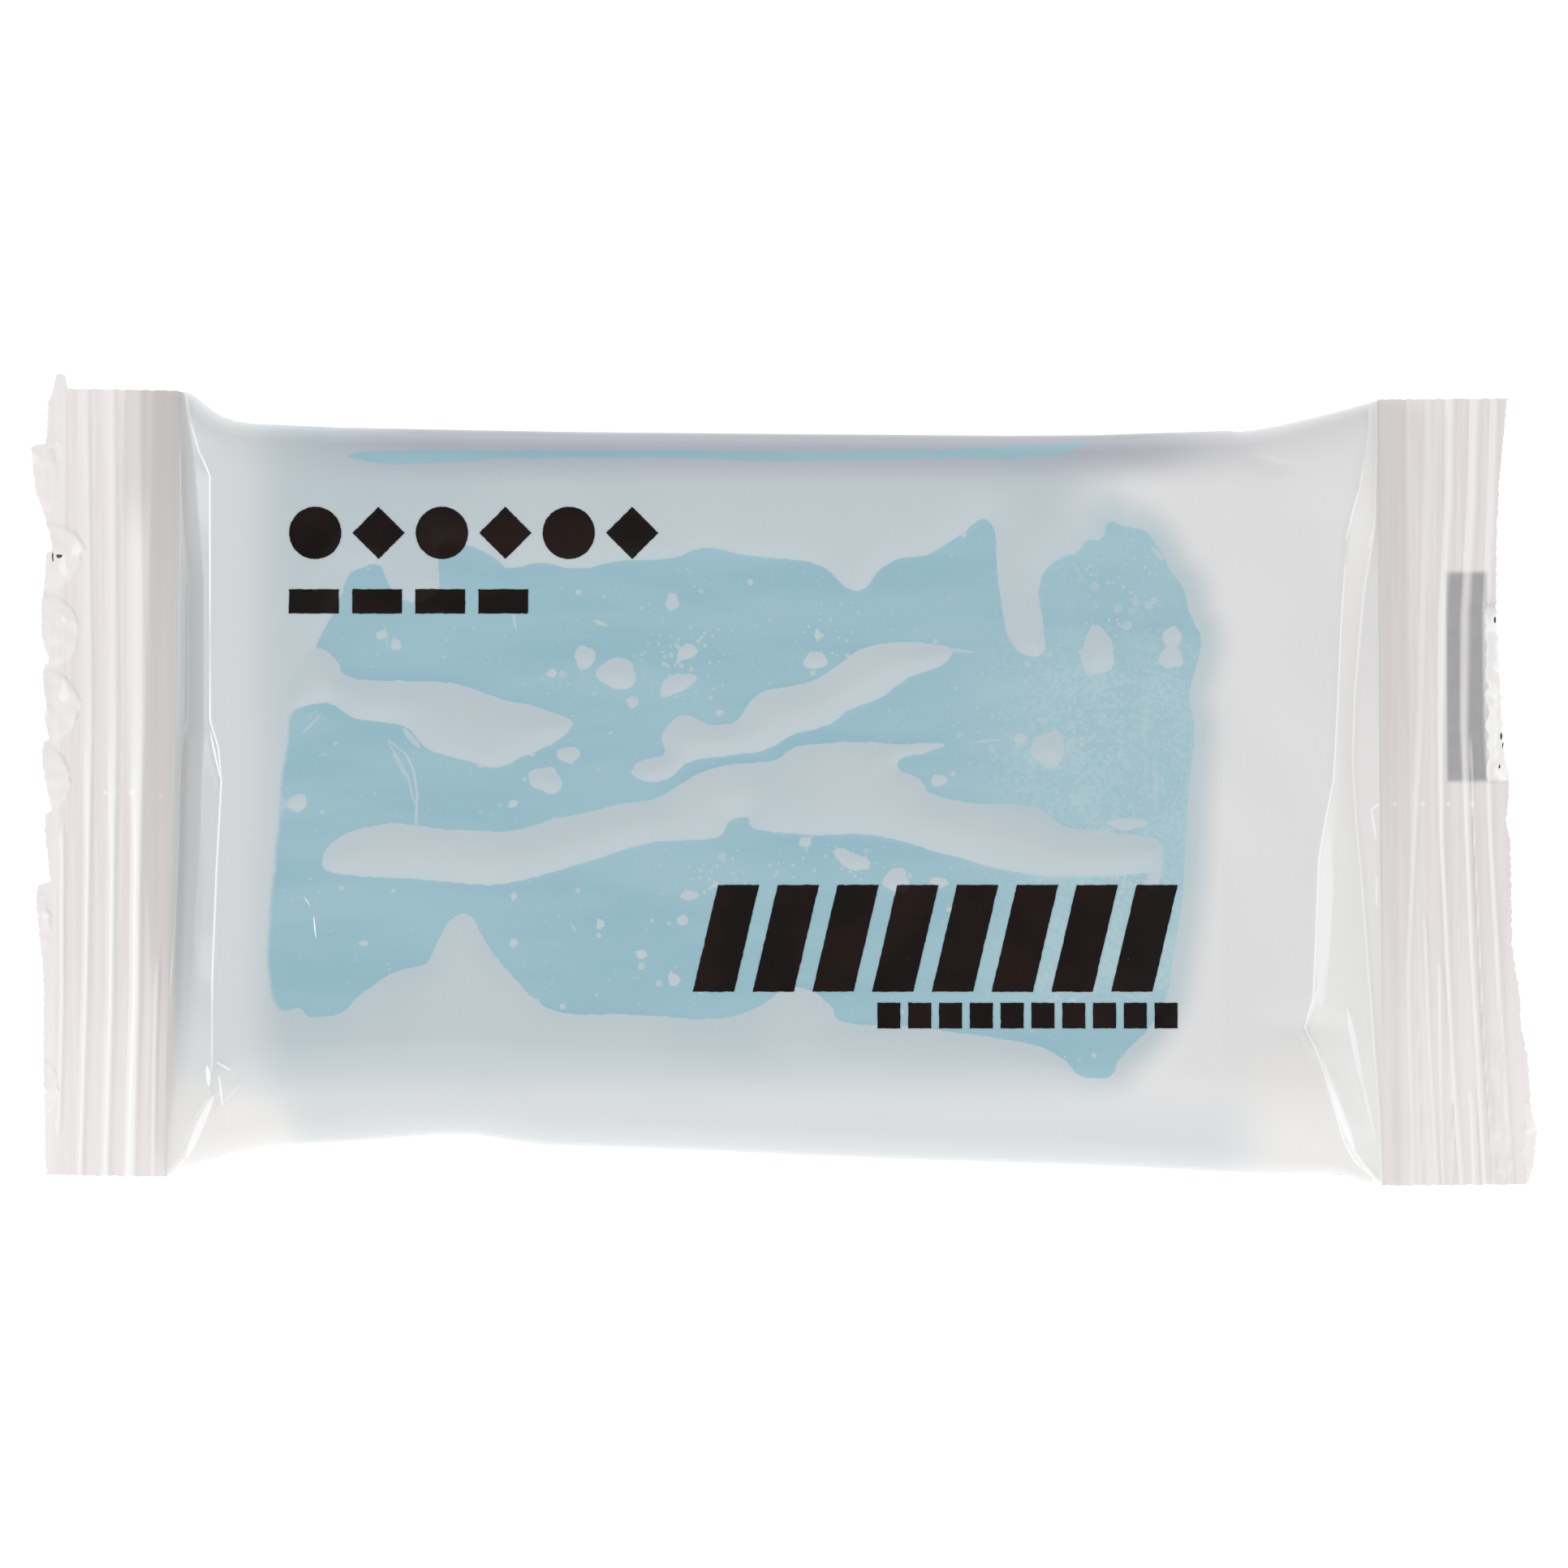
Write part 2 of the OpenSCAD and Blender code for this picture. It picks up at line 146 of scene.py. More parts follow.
# Round air bubbles: x, y, half length, half width and turn in degrees.
BUBBLES = [
    (-15, 9.7, 1.75, 1.4, -10), (-17.9, 11.2, 0.9, 1.05, 0), (-9.7, 8.8, 1.65, 0.8, 25),
    (-8.7, 11.7, 1, 0.7, 30), (-13.6, 7.1, 0.5, 0.55, 0), (-10, 16.2, 0.6, 0.8, 0),
    (-34.9, 12.3, 0.5, 0.6, 0), (-36.2, 13.2, 0.5, 0.4, 0), (-20.9, 9.7, 0.45, 0.4, 0),
    (-5.8, 6.2, 0.45, 0.35, 0), (-43.8, -1.9, 1, 0.75, 20), (-19.4, 2.4, 1.1, 0.75, 0),
    (-21.4, 0.1, 1.6, 1.1, -20), (-24.4, -2, 0.65, 0.4, 20), (2.8, 10.9, 1.1, 0.8, 10),
    (3.1, 13.1, 0.35, 0.6, 0), (28.2, 11.6, 1.5, 2.2, 0), (34.9, 13.1, 0.9, 0.8, 0),
    (34.8, 11.1, 1.1, 1, 0), (23.8, 2.9, 1.5, 1.6, 0), (21.2, 3.9, 0.6, 0.4, 0),
    (13.9, 0.1, 0.8, 0.5, 0), (30.9, -3.8, 2, 0.5, 0), (6.1, -7.1, 1.9, 0.8, -25),
    (10.1, -8.9, 1.2, 1.1, 0), (13.9, -9.1, 0.9, 0.5, 0), (1.9, -5.5, 0.6, 0.45, 0),
    (-12.9, -15.5, 0.65, 0.4, -10), (-9.9, -17.8, 0.55, 0.8, 20), (-9.1, -12.5, 0.6, 0.5, 0),
    (-8.5, -10.2, 0.9, 0.4, 0), (-24.3, -10.3, 0.35, 0.5, 30), (-24.3, -14.5, 0.45, 0.45, 0),
    (-16.5, -12.8, 0.4, 0.5, 0), (-37.8, -14.6, 0.35, 0.35, 0), (-6.2, -9.2, 0.45, 0.4, 0)
]
# The thin strip where the clay's upper edge touches the film beside the fold.
EDGE_STRIP = [
    (-39.5, 29.3), (-36, 29.8), (-25, 29.8), (-10, 29.8), (5, 29.7), (15, 29.95), (22, 30.3),
    (27.5, 30.6), (25, 29.5), (22, 29), (15, 29.1), (5, 28.85), (-2, 28.85), (-10, 29.1),
    (-25, 29), (-30, 28.7), (-34, 28.5), (-37, 28.7)
]


def smooth_loop(points, steps=4):
    """A closed Catmull-Rom curve through the points."""
    p = np.array(points, float)
    before, after, far = np.roll(p, 1, 0), np.roll(p, -1, 0), np.roll(p, -2, 0)
    t = np.linspace(0, 1, steps, endpoint=False)[None, :, None]
    a, b, c, d = (q[:, None, :] for q in (before, p, after, far))
    curve = 0.5 * (2 * b + (c - a) * t + (2 * a - 5 * b + 4 * c - d) * t ** 2
                   + (3 * b - a - 3 * c + d) * t ** 3)
    return curve.reshape(-1, 2)


def inside_distance(x, y, loop):
    """How far each point lies inside a closed curve, negative outside it."""
    best = np.full(x.shape, 1e9)
    inside = np.zeros(x.shape, bool)
    for (ax, ay), (bx, by) in zip(loop, np.roll(loop, -1, 0)):
        dx, dy = bx - ax, by - ay
        span = max(dx * dx + dy * dy, 1e-9)
        t = np.clip(((x - ax) * dx + (y - ay) * dy) / span, 0, 1)
        best = np.minimum(best, (x - ax - t * dx) ** 2 + (y - ay - t * dy) ** 2)
        if ay != by:
            crosses = ((ay > y) != (by > y)) & (x < dx * (y - ay) / dy + ax)
            inside ^= crosses
    return np.where(inside, 1, -1) * np.sqrt(best)


def bubble_distance(x, y, bubble):
    """How far each point lies inside a slightly lumpy oval."""
    cx, cy, a, b, turn = bubble
    c, s = math.cos(math.radians(turn)), math.sin(math.radians(turn))
    u, v = (x - cx) * c + (y - cy) * s, (y - cy) * c - (x - cx) * s
    angle = np.arctan2(v, u)
    lump = 1 + 0.1 * np.sin(3 * angle + cx) + 0.06 * np.sin(5 * angle + cy)
    return (lump - np.hypot(u / a, v / b)) * min(a, b)


def wet_distance(x, y):
    """How far inside a wet patch a point of the front film lies."""
    wet = inside_distance(x, y, smooth_loop(WET))
    for pocket in POCKETS:
        wet = np.minimum(wet, -inside_distance(x, y, smooth_loop(pocket)))
    for bubble in BUBBLES:
        wet = np.minimum(wet, -bubble_distance(x, y, bubble))
    return np.maximum(wet, inside_distance(x, y, smooth_loop(EDGE_STRIP)))


# ---- film surface

def along(points, at):
    """Straight-line interpolation in a list of points, first value against second."""
    p = sorted(points)
    return np.interp(at, [q[0] for q in p], [q[1] for q in p])


def ease(t):
    """A smooth step from 0 to 1."""
    t = np.clip(t, 0, 1)
    return t * t * (3 - 2 * t)


def slant_x(share, y):
    """X at a share of the tube's length, with each end leaning as its seal does."""
    return LEFT_X + share * TUBE_L + (LEFT_LEAN * (1 - share) + RIGHT_LEAN * share) * y


# The left end drops like the end of a box. This is how far in from the seal its top crease runs.
LEFT_WALL = [
    (-35, 1.1), (-31, 2.4), (-28, 4.1), (-25, 4.3), (-18, 4.2), (-8, 4.4), (0, 4.7), (3, 4.4),
    (5.5, 3.6), (27.5, 3.2), (29.5, 2.3), (32, 1.5), (35, 0.9)
]
# Where the wall's shaded face turns over into the pale strip below that crease.
LEFT_TURN = [
    (-35, -54.8), (-20, -53.4), (-5, -52.55), (5, -52.2), (18, -52.2), (30, -53.2), (35, -54)
]
# The right end slopes through two creases, which fan out towards the lower corner.
RIGHT_CREASE = [
    (-36, 53.4), (-34.3, 51.5), (-32.5, 50.5), (-29, 49.5), (-26, 48.6), (-24.3, 48),
    (-22.2, 46.9), (-19.5, 47.7), (-15, 47.9), (-7, 48.2), (-4, 48.7), (0, 49.5), (5, 49.8),
    (14, 50.2), (20, 50.6), (23.5, 51), (26, 51.8), (34, 53)
]
RIGHT_BAND = [
    (-36, 0.2), (-31, 1.2), (-27, 0.7), (-24, 0.3), (-22.2, 0.15), (-20, 0.9), (-15, 1.4),
    (-9, 1.6), (-4, 1.1), (0, 0.35), (5, 0.2), (34, 0.2)
]
RIGHT_FOOT = [
    (-36, 53.9), (-30, 53.7), (-18, 52.8), (-10, 52.2), (-3, 51.6), (2, 51.3), (8, 51.5),
    (17, 52.3), (23, 53.3), (34, 53.6)
]


def stations(y):
    """X of the lines that shape the film at each y, from the left seal to the right one."""
    left, right = slant_x(0, y), slant_x(1, y)
    crest = left + along(LEFT_WALL, y)
    flat, shoulder = np.full_like(y, 31), np.full_like(y, 39)
    crease = np.minimum(along(RIGHT_CREASE, y), right - 0.9)
    inner = np.minimum(crease + along(RIGHT_BAND, y), right - 0.6)
    foot = np.clip(along(RIGHT_FOOT, y), inner + 0.15, right - 0.15)
    return [left, crest, flat, shoulder, crease, inner, foot, right]


def rise(x, y):
    """The film's height over the folds, from 0 at the seals to 1 over the clay."""
    left, crest, *lines = stations(y)
    t = (x - left) / (crest - left)
    turn = (along(LEFT_TURN, y) - left) / (crest - left)
    wall = 0.08 * ease(t / 0.4) + 0.8 * np.clip((t - turn) / 0.46 + 1, 0, 1) ** 1.5
    wall = wall + 0.12 * np.clip((t - turn + 0.06) / (1.06 - turn), 0, 1)
    box_like = ease((y + 30) / 18)
    low = box_like * wall + (1 - box_like) * np.clip(t, 0, 1)
    levels = [1, 0.93, 0.55, 0.5, 0.16, 0]
    high = np.ones_like(x)
    for near, far, top, foot in zip(lines, lines[1:], levels, levels[1:]):
        t = np.clip((x - near) / (far - near), 0, 1)
        high -= (top - foot) * (ease(t) if top == 1 else t)
    return np.minimum(low, high)


def lean_section(reach, power, b):
    """How far in from its fold (0 to reach) and up (0 to 1) a bend has come at b from 0 to 1."""
    angle = b * math.pi / 2
    return reach * (1 - np.cos(angle) ** (2 / power)), np.sin(angle) ** (2 / power)


# Short sharp creases in the front: points, height and half width.
CREASES = [
    ([(-51.1, -25.3), (-49.8, -25.9)], 0.25, 0.4), ([(-50.7, -26.4), (-50.5, -29.2)], 0.25, 0.4),
    ([(-51.9, -25.6), (-51.7, -27.3)], 0.35, 0.45), ([(-48.6, -26.8), (-50.6, -29)], 0.15, 0.5),
    ([(-51.3, -28.2), (-53, -31), (-54.3, -34.6)], 0.45, 0.7),
    ([(-49, -28), (-41, -29.4), (-34, -29.5)], 0.15, 1.6),
    ([(50.9, -20.9), (51.3, -24), (52.3, -28.5), (53.2, -31.8)], 0.4, 0.6),
    ([(49.5, -26.5), (50.4, -30.2), (51.2, -32.6)], 0.3, 0.75),
    ([(50.6, -32.8), (54, -36.3)], 0.35, 0.4), ([(46.9, -22.2), (48.2, -24.6)], 0.3, 0.3),
    ([(51.9, 26.4), (50.9, 23.4), (50.5, 20)], 0.15, 0.25),
    ([(40.4, 31), (42.4, 29), (45, 28.2)], -0.3, 0.9),
    ([(-51.5, 4), (-51.4, 2.4), (-50.8, 0)], 0.15, 0.3), ([(-38, 25), (-46, 15)], 0.1, 1.8),
    ([(53.8, -1.9), (53, -2.5), (53.4, -4), (53.6, -10.5)], 0.25, 0.3)
]
# Painted highlights along sharp folds, as slim leaves: both tips, half width and strength.
GLEAMS = [
    (-51.3, -28.2, -53.9, -34, 0.36, 0.75), (-51.1, -25.2, -49.7, -26, 0.13, 1),
    (-50.8, -26.4, -50.5, -29.3, 0.14, 0.9), (-51.9, -25.5, -51.7, -27.4, 0.22, 1),
    (-50.5, -28.9, -48.7, -27, 0.05, 0.9), (-54, -33.9, -54.8, -35.2, 0.14, 0.9),
    (50.8, -20.4, 52.2, -27.6, 0.3, 0.8), (51.8, -25.5, 53.3, -32.2, 0.17, 0.7),
    (48.4, -24.4, 50, -30, 0.12, 1), (49.4, -27.8, 51.4, -33.2, 0.34, 0.8),
    (50.6, -32.4, 54, -36.6, 0.14, 1), (46.9, -22.1, 48.4, -24.7, 0.1, 0.9),
    (48.9, -3.6, 48.4, -20.4, 0.72, 0.3), (48.4, -18, 46.8, -22.4, 0.2, 0.6),
    (51.8, 26.4, 50.6, 21.6, 0.14, 1), (53.3, 23.1, 52.7, 21, 0.1, 0.9),
    (53.9, -1.9, 52.9, -2.6, 0.14, 1), (53, -2.3, 53.5, -5.4, 0.13, 1),
    (53.5, -8.4, 53.5, -11.4, 0.12, 0.9), (-51.6, 4.5, -50.7, 0.2, 0.13, 1),
    (-53.4, 32.4, -52.4, 28.9, 0.1, 0.7), (-52.5, 29.6, -51.5, 27.2, 0.12, 1),
    (-42.3, -12, -42.1, -14.2, 0.09, 1), (-43.2, -10.3, -42.6, -11.2, 0.07, 0.9)
]

# Curved streaks of air drawn out in the wet patches, as slim leaves like the gleams.
STREAKS = [
    (-43.4, 4.2, -41.5, 6.2, 0.13, 0.7), (-43.1, 5.6, -41.9, 6.5, 0.08, 0.6),
    (-34.3, 4.8, -32.7, 3, 0.3, 0.75), (-35.7, 3.7, -34.4, 1.6, 0.1, 0.7),
    (-35.2, 2.6, -33.6, -0.2, 0.24, 0.6), (-33.9, 0.5, -33.1, -2.2, 0.16, 0.6),
    (-24.5, 15.8, -24.1, 13.6, 0.18, 0.8), (-36, 14.4, -35.6, 11.8, 0.14, 0.5),
    (-17.2, 14.5, -15.8, 14, 0.2, 0.8), (33, 21, 34.1, 19.9, 0.3, 0.8),
    (20.4, 4.2, 22, 4, 0.14, 0.5), (32.8, 8, 32.2, 3.4, 0.3, 0.35),
    (33.3, 2, 33.5, -3, 0.25, 0.4), (28, -8.2, 33.4, -9.7, 0.1, 0.6),
    (-19.2, -12.8, -18.6, -13.6, 0.12, 0.7), (17, 3.6, 19.6, 3.7, 0.12, 0.8),
    (14.4, 12, 17.2, 11.6, 0.16, 0.8), (25.8, 19.8, 27.4, 17.6, 0.2, 0.3)
]


def line_distance(x, y, points):
    """How far each point lies from a line of straight pieces."""
    best = np.full(x.shape, 1e9)
    for (ax, ay), (bx, by) in zip(points, points[1:]):
        dx, dy = bx - ax, by - ay
        t = np.clip(((x - ax) * dx + (y - ay) * dy) / (dx * dx + dy * dy), 0, 1)
        best = np.minimum(best, np.hypot(x - ax - t * dx, y - ay - t * dy))
    return best


def front_relief(x, y, wet):
    """The small shapes of the front: air pockets, creases and slow waves."""
    over_clay = ease((x - clay_low[0]) / 4) * ease((clay_high[0] - 3 - x) / 4)
    over_clay = over_clay * ease((y - clay_low[1]) / 5) * ease((clay_high[1] - y) / 3)
    relief = POCKET_LIFT * (1 - np.exp(-np.maximum(-wet, 0) / 1.7)) * over_clay
    for points, height, half in CREASES:
        relief = relief + height * np.clip(1 - line_distance(x, y, points) / half, 0, 1) ** 1.3
    slow = 0.12 * np.sin(x * 0.13 + y * 0.05 + 1) * np.sin(y * 0.16 + 0.4)
    loose = ease((-20 - y) / 8) + ease((x - 36) / 6)
    waves = 0.1 * np.sin(x * 0.34 + 0.8 * np.sin(y * 0.2)) * np.sin(y * 0.27 + x * 0.06)
    return relief + slow * over_clay + waves * np.clip(loose, 0, 1)


def front_z(x, y, up, wet):
    """Height of the front film where its section has come up by a share up."""
    r = rise(x, y)
    relief = front_relief(x, y, wet) * r ** 0.3 * np.clip(up * 1.4 - 0.4, 0, 1)
    return FOLD_Z + RISE_H * r * up + relief - 0.12 * r


# ---- mesh helpers

def roughness_at(x, y, z):
    """Smooth noise between -1 and 1 at each point."""
    return np.array([noise.noise(Vector(p)) for p in np.broadcast(x, y, z)])


def add_object(name, data):
    """A new object in the scene for a mesh, a light or a camera."""
    made = bpy.data.objects.new(name, data)
    bpy.context.collection.objects.link(made)
    return made


def sheet_grid(columns, rows):
    """A flat grid over the unit square, with the share along and across of each of its points."""
    bm = bmesh.new()
    bmesh.ops.create_grid(bm, x_segments=columns, y_segments=rows, size=0.5)
    bm.verts.ensure_lookup_table()
    points = np.array([v.co[:] for v in bm.verts])
    return bm, points[:, 0] + 0.5, points[:, 1] + 0.5


def finish_piece(bm, name, place_mm, material, replaced,
                 thick=0, side=-1, values=(), flip=False):
    """Turn a bmesh into a named piece, with its place, point values, wall and finish."""
    for vert, point in zip(bm.verts, place_mm):
        vert.co = Vector(point) * MM
    if flip:
        bmesh.ops.reverse_faces(bm, faces=bm.faces)
    for edge in bm.edges:
        edge.smooth = not edge.is_boundary
    mesh = bpy.data.meshes.new(name)
    bm.to_mesh(mesh)
    bm.free()
    mesh.polygons.foreach_set("use_smooth", [True] * len(mesh.polygons))
    for key, numbers in values:
        point_values = mesh.attributes.new(key, "FLOAT", "POINT").data
        point_values.foreach_set("value", np.asarray(numbers, float))
    piece = add_object(name, mesh)
    mesh.materials.append(material)
    if thick:
        wall = piece.modifiers.new("wall", "SOLIDIFY")
        wall.thickness = thick * MM
        wall.offset = side
    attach(piece, "root")
    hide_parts(*replaced)


# ---- shader helper

def operator(operation, reflected=False):
    """A method that turns one of Python's operators into a Math node."""
    def method(self, other):
        pair = (other, self) if reflected else (self, other)
        return self.math(operation, *pair)
    return method


class Wire:
    """One output of a shader node. Expressions on wires add the Math nodes they need."""

    def __init__(self, tree, socket=None):
        self.tree, self.socket = tree, socket

    def node(self, kind, settings=None, inputs=None, out=0):
        """A new node with its settings made first, then its sockets' values or links."""
        made = self.tree.nodes.new("ShaderNode" + kind)
        for key, value in (settings or {}).items():
            setattr(made, key, value)
        for key, value in (inputs or {}).items():
            if isinstance(value, Wire):
                self.tree.links.new(value.socket, made.inputs[key])
            else:
                made.inputs[key].default_value = value
        return Wire(self.tree, made.outputs[out])

    def math(self, operation, a, b=0.0, clamp=False):
        settings = {"operation": operation, "use_clamp": clamp}
        return self.node("Math", settings, {0: a, 1: b})

    __add__, __radd__ = operator("ADD"), operator("ADD", True)
    __sub__, __rsub__ = operator("SUBTRACT"), operator("SUBTRACT", True)
    __mul__, __rmul__ = operator("MULTIPLY"), operator("MULTIPLY", True)
    __truediv__, __pow__ = operator("DIVIDE"), operator("POWER")

    def between(self, low, high):
        """0 below low, 1 above high, and a smooth step between them."""
        settings = {"interpolation_type": "SMOOTHSTEP"}
        return self.node("MapRange", settings, {0: self, 1: low, 2: high, 3: 0.0, 4: 1.0})

    def mix(self, a, b):
        """Colour a where this wire is 0 and colour b where it is 1."""
        return self.node("Mix", {"data_type": "RGBA"}, {0: self, 6: a, 7: b}, out=2)

    def leaf(self, other, ax, ay, bx, by, half):
        """1 inside a slim leaf drawn from tip a to tip b, where this wire is x and the other y."""
        dx, dy = bx - ax, by - ay
        length = math.hypot(dx, dy)
        x, y = self - ax, other - ay
        t = self.math("ADD", x * (dx / length ** 2), y * (dy / length ** 2), clamp=True)
        off = self.math("ABSOLUTE", x * (dy / length) - y * (dx / length))
        width = (t * (1 - t) * 4) ** 0.5 * half
        return (width - off).between(0.01, 0.05)

    def value(self, name):
        """A piece's own point value."""
        return self.node("Attribute", {"attribute_name": name}, out=2)

    def place(self):
        """Where the point lies on its piece, in metres."""
        return self.node("TexCoord", out=3)

    def axis(self, number):
        """One part of that place in millimetres: 0 for x and 1 for y."""
        return self.node("SeparateXYZ", None, {0: self.place()}, out=number) / MM

    def grain(self, scale, detail=2.0, rough=0.5, stretch=(1, 1, 1)):
        """Cloudy noise about 0.5, finer as the scale grows."""
        spot = self.node("Mapping", None, {0: self.place(), 3: stretch})
        inputs = {"Vector": spot, "Scale": scale, "Detail": detail, "Roughness": rough}
        return self.node("TexNoise", None, inputs)

    def dots(self, scale):
        """Distance to the nearest of many scattered points."""
        inputs = {"Vector": self.place(), "Scale": scale}
        return self.node("TexVoronoi", None, inputs)


def colour(red, green, blue):
    """A colour given in screen values from 0 to 255."""
    def linear(c):
        c /= 255
        return c / 12.92 if c <= 0.04045 else ((c + 0.055) / 1.055) ** 2.4
    return (linear(red), linear(green), linear(blue), 1)


def new_finish(name, roughness, coat=0.0, coat_roughness=0.1, specular=0.5):
    """A material with its surface shader, and a wire to build its pattern from."""
    material = bpy.data.materials.new(name)
    material.use_nodes = True
    shader = material.node_tree.nodes["Principled BSDF"]
    shader.inputs["Roughness"].default_value = roughness
    shader.inputs["Coat Weight"].default_value = coat
    shader.inputs["Coat Roughness"].default_value = coat_roughness
    shader.inputs["Specular IOR Level"].default_value = specular
    return material, shader, Wire(material.node_tree)


def join(wire, shader, socket):
    wire.tree.links.new(wire.socket, shader.inputs[socket])


def paint(shader, tone, roughness):
    """Give a shader its colour and its roughness."""
    join(tone, shader, "Base Color")
    join(roughness, shader, "Roughness")


def add_bump(wire, shader, height, strength, distance_mm):
    inputs = {"Strength": strength, "Distance": distance_mm * MM, "Height": height}
    bump = wire.node("Bump", None, inputs)
    join(bump, shader, "Normal")


# ---- finishes

def milky_film():
    """Front film: milky and glossy, blue where the clay has wetted it, with painted shade on its
    walls and upper side and painted highlights along its creases.
    """
    material, shader, w = new_finish("milky_film", 0.3, 0.12, 0.12, specular=0.38)
    x, y = w.axis(0), w.axis(1)
    wobble = (w.grain(1000, 3, 0.6) - 0.5) * 0.3 + (w.grain(330, 2) - 0.5) * 0.35
    blur = 1 - x.between(-46, -42.5)
    wet = (w.value("wet") + wobble).between(-0.05 - 0.3 * blur, 0.06 + 0.2 * blur)
    density = w.value("speckle")
    near = w.dots(1500)
    fine = ((0.1 + 0.5 * density * w.grain(330, 2)) - near).between(0, 0.08)
    fine = fine * (w.grain(700, 1) * 0.7 + density * 0.5).between(0.42, 0.55)
    large = ((0.1 + 0.5 * density * w.grain(190, 1)) - w.dots(560)).between(0, 0.05)
    large = large * (w.grain(230, 1) + density * 0.1).between(0.52, 0.6)
    scratch = 1 - w.math("ABSOLUTE", w.value("scratch")).between(0.06, 0.18)
    scratch = scratch * y.between(-4.2, -3.8) * (1 - y.between(3.5, 3.9))
    faint = large * (0.85 - 0.5 * density.between(0, 1))
    wet = wet * (1 - 0.75 * fine) * (1 - faint) * (1 - 0.8 * scratch)
    ragged = w.grain(900, 2) * 0.24 - 0.12
    for *shape, strength in STREAKS:
        wet = wet * (1 - (x + ragged).leaf(y + ragged, *shape) * strength)
    bare = w.value("loose").mix(colour(224, 224, 224), colour(214, 217, 219))
    # Painted light: the lower corners and the top left corner of the film are lightened.
    bare = w.value("corner_painted_light").mix(bare, colour(233, 232, 230))
    pale = w.grain(55, 2).between(0.35, 0.65).mix(colour(188, 200, 206), colour(193, 203, 208))
    drawn = w.grain(150, 3, 0.6, stretch=(0.3, 1, 1)).between(0.32, 0.68)
    blue = drawn.mix(colour(146, 185, 198), colour(156, 192, 203))
    powder = (w.grain(2300, 3, 0.7) * 0.7 + w.grain(300, 2) * 0.3).between(0.42, 0.62)
    blue = (w.value("right") * (0.3 + 0.4 * powder)).mix(blue, colour(182, 206, 212))
    base = w.value("clay").mix(bare, pale)
    halo = w.value("wet").between(-2, 0.1) * (0.08 + 0.12 * w.value("right"))
    base = halo.mix(base, colour(166, 204, 208))
    # Painted shade: the upper side wall is greyed towards a lavender grey.
    base = (w.value("side") * 0.85).mix(base, colour(176, 178, 190))
    base = wet.mix(base, blue)
    # Painted shade: a darker blue grey line right along the upper fold.
    base = (w.value("side").between(1, 1.5) * 0.35).mix(base, colour(104, 116, 144))
    # Painted shade: warm grey at the foot of the left wall.
    base = w.value("foot").mix(base, colour(213, 207, 204))
    # Painted shade: cool grey on the left wall's steep face.
    base = w.value("wall").mix(base, colour(185, 188, 190))
    # Partly the weld's pinkish tint and partly painted light: the film beside the right seal is
    # lightened to near white.
    base = w.value("weld").mix(base, colour(248, 244, 243))
    # Painted highlights: a white line along the left wall's crest, one at the foot of the right
    # slope and the gleams along sharp folds.
    crest = 1 - w.math("ABSOLUTE", w.value("crest")).between(0.05, 0.12)
    slope_foot = 1 - w.math("ABSOLUTE", w.value("slope_foot")).between(0.04, 0.1)
    white = w.math("MAXIMUM", crest * w.grain(60, 2).between(0.3, 0.5) * 0.9, slope_foot * 0.75)
    # Painted light: the right slope and the band between its creases are lightened towards white.
    base = w.value("white").mix(base, colour(241, 241, 239))
    for *shape, strength in GLEAMS:
        white = w.math("MAXIMUM", white, x.leaf(y, *shape) * strength)
    paint(shader, white.mix(base, colour(253, 254, 254)), 0.24 + 0.14 * w.grain(140, 3))
    add_bump(w, shader, w.grain(700, 3) * 0.5 + w.grain(180, 2), 0.12, 0.05)
    return material


def back_milky_film():
    """Back film: the clay's weight has wetted most of it."""
    material, shader, w = new_finish("back_milky_film", 0.34)
    patch = w.grain(42, 4, 0.5) * 0.75 + w.grain(150, 3) * 0.25
    wet = (w.value("clay") * 0.62 - patch).between(0.0, 0.02)
    specks = (0.04 + 0.3 * w.grain(110, 2) - w.dots(560)).between(0, 0.05)
    wet = wet * (1 - 0.8 * specks)
    base = w.value("clay").mix(colour(222, 222, 222), colour(192, 202, 207))
    blue = w.grain(90, 3).between(0.3, 0.7).mix(colour(152, 187, 198), colour(160, 192, 201))
    paint(shader, wet.mix(base, blue), 0.3 + 0.12 * w.grain(140, 3))
    add_bump(w, shader, w.grain(700, 3) * 0.5 + w.grain(180, 2), 0.12, 0.05)
    return material


def crimped_film():
    """Welded film: pinkish white flats, ridges lightened by painted highlights, painted shade near
    the film and fine draw lines across the jaw.
    """
    material, shader, w = new_finish("crimped_film", 0.36, 0.2, 0.15)
    streak = w.grain(2600, 3, 0.6, stretch=(1, 0.02, 1))
    flat = streak.between(0.3, 0.7).mix(colour(229, 222, 221), colour(236, 232, 231))
    flat = w.value("pale").mix(flat, colour(244, 241, 240))
    # Painted highlight: the ridge value lightens the crimp's ridges and small dots towards white,
    # and the torn rims the same way.
    tone = w.value("ridge").between(0.05, 0.9).mix(flat, colour(250, 250, 248))
    tone = (w.value("shade") * (0.8 + 0.4 * streak)).mix(tone, colour(190, 186, 183))
    mark = w.value("mark") * (0.85 + 0.15 * w.grain(900, 3))
    tone = mark.mix(tone, colour(158, 158, 161))
    crumb = (w.value("crumb") - 0.4 * w.grain(1600, 2)).between(0.35, 0.5)
    paint(shader, crumb.mix(tone, colour(70, 62, 62)), 0.3 + 0.16 * streak)
    add_bump(w, shader, streak, 0.25, 0.04)
    return material


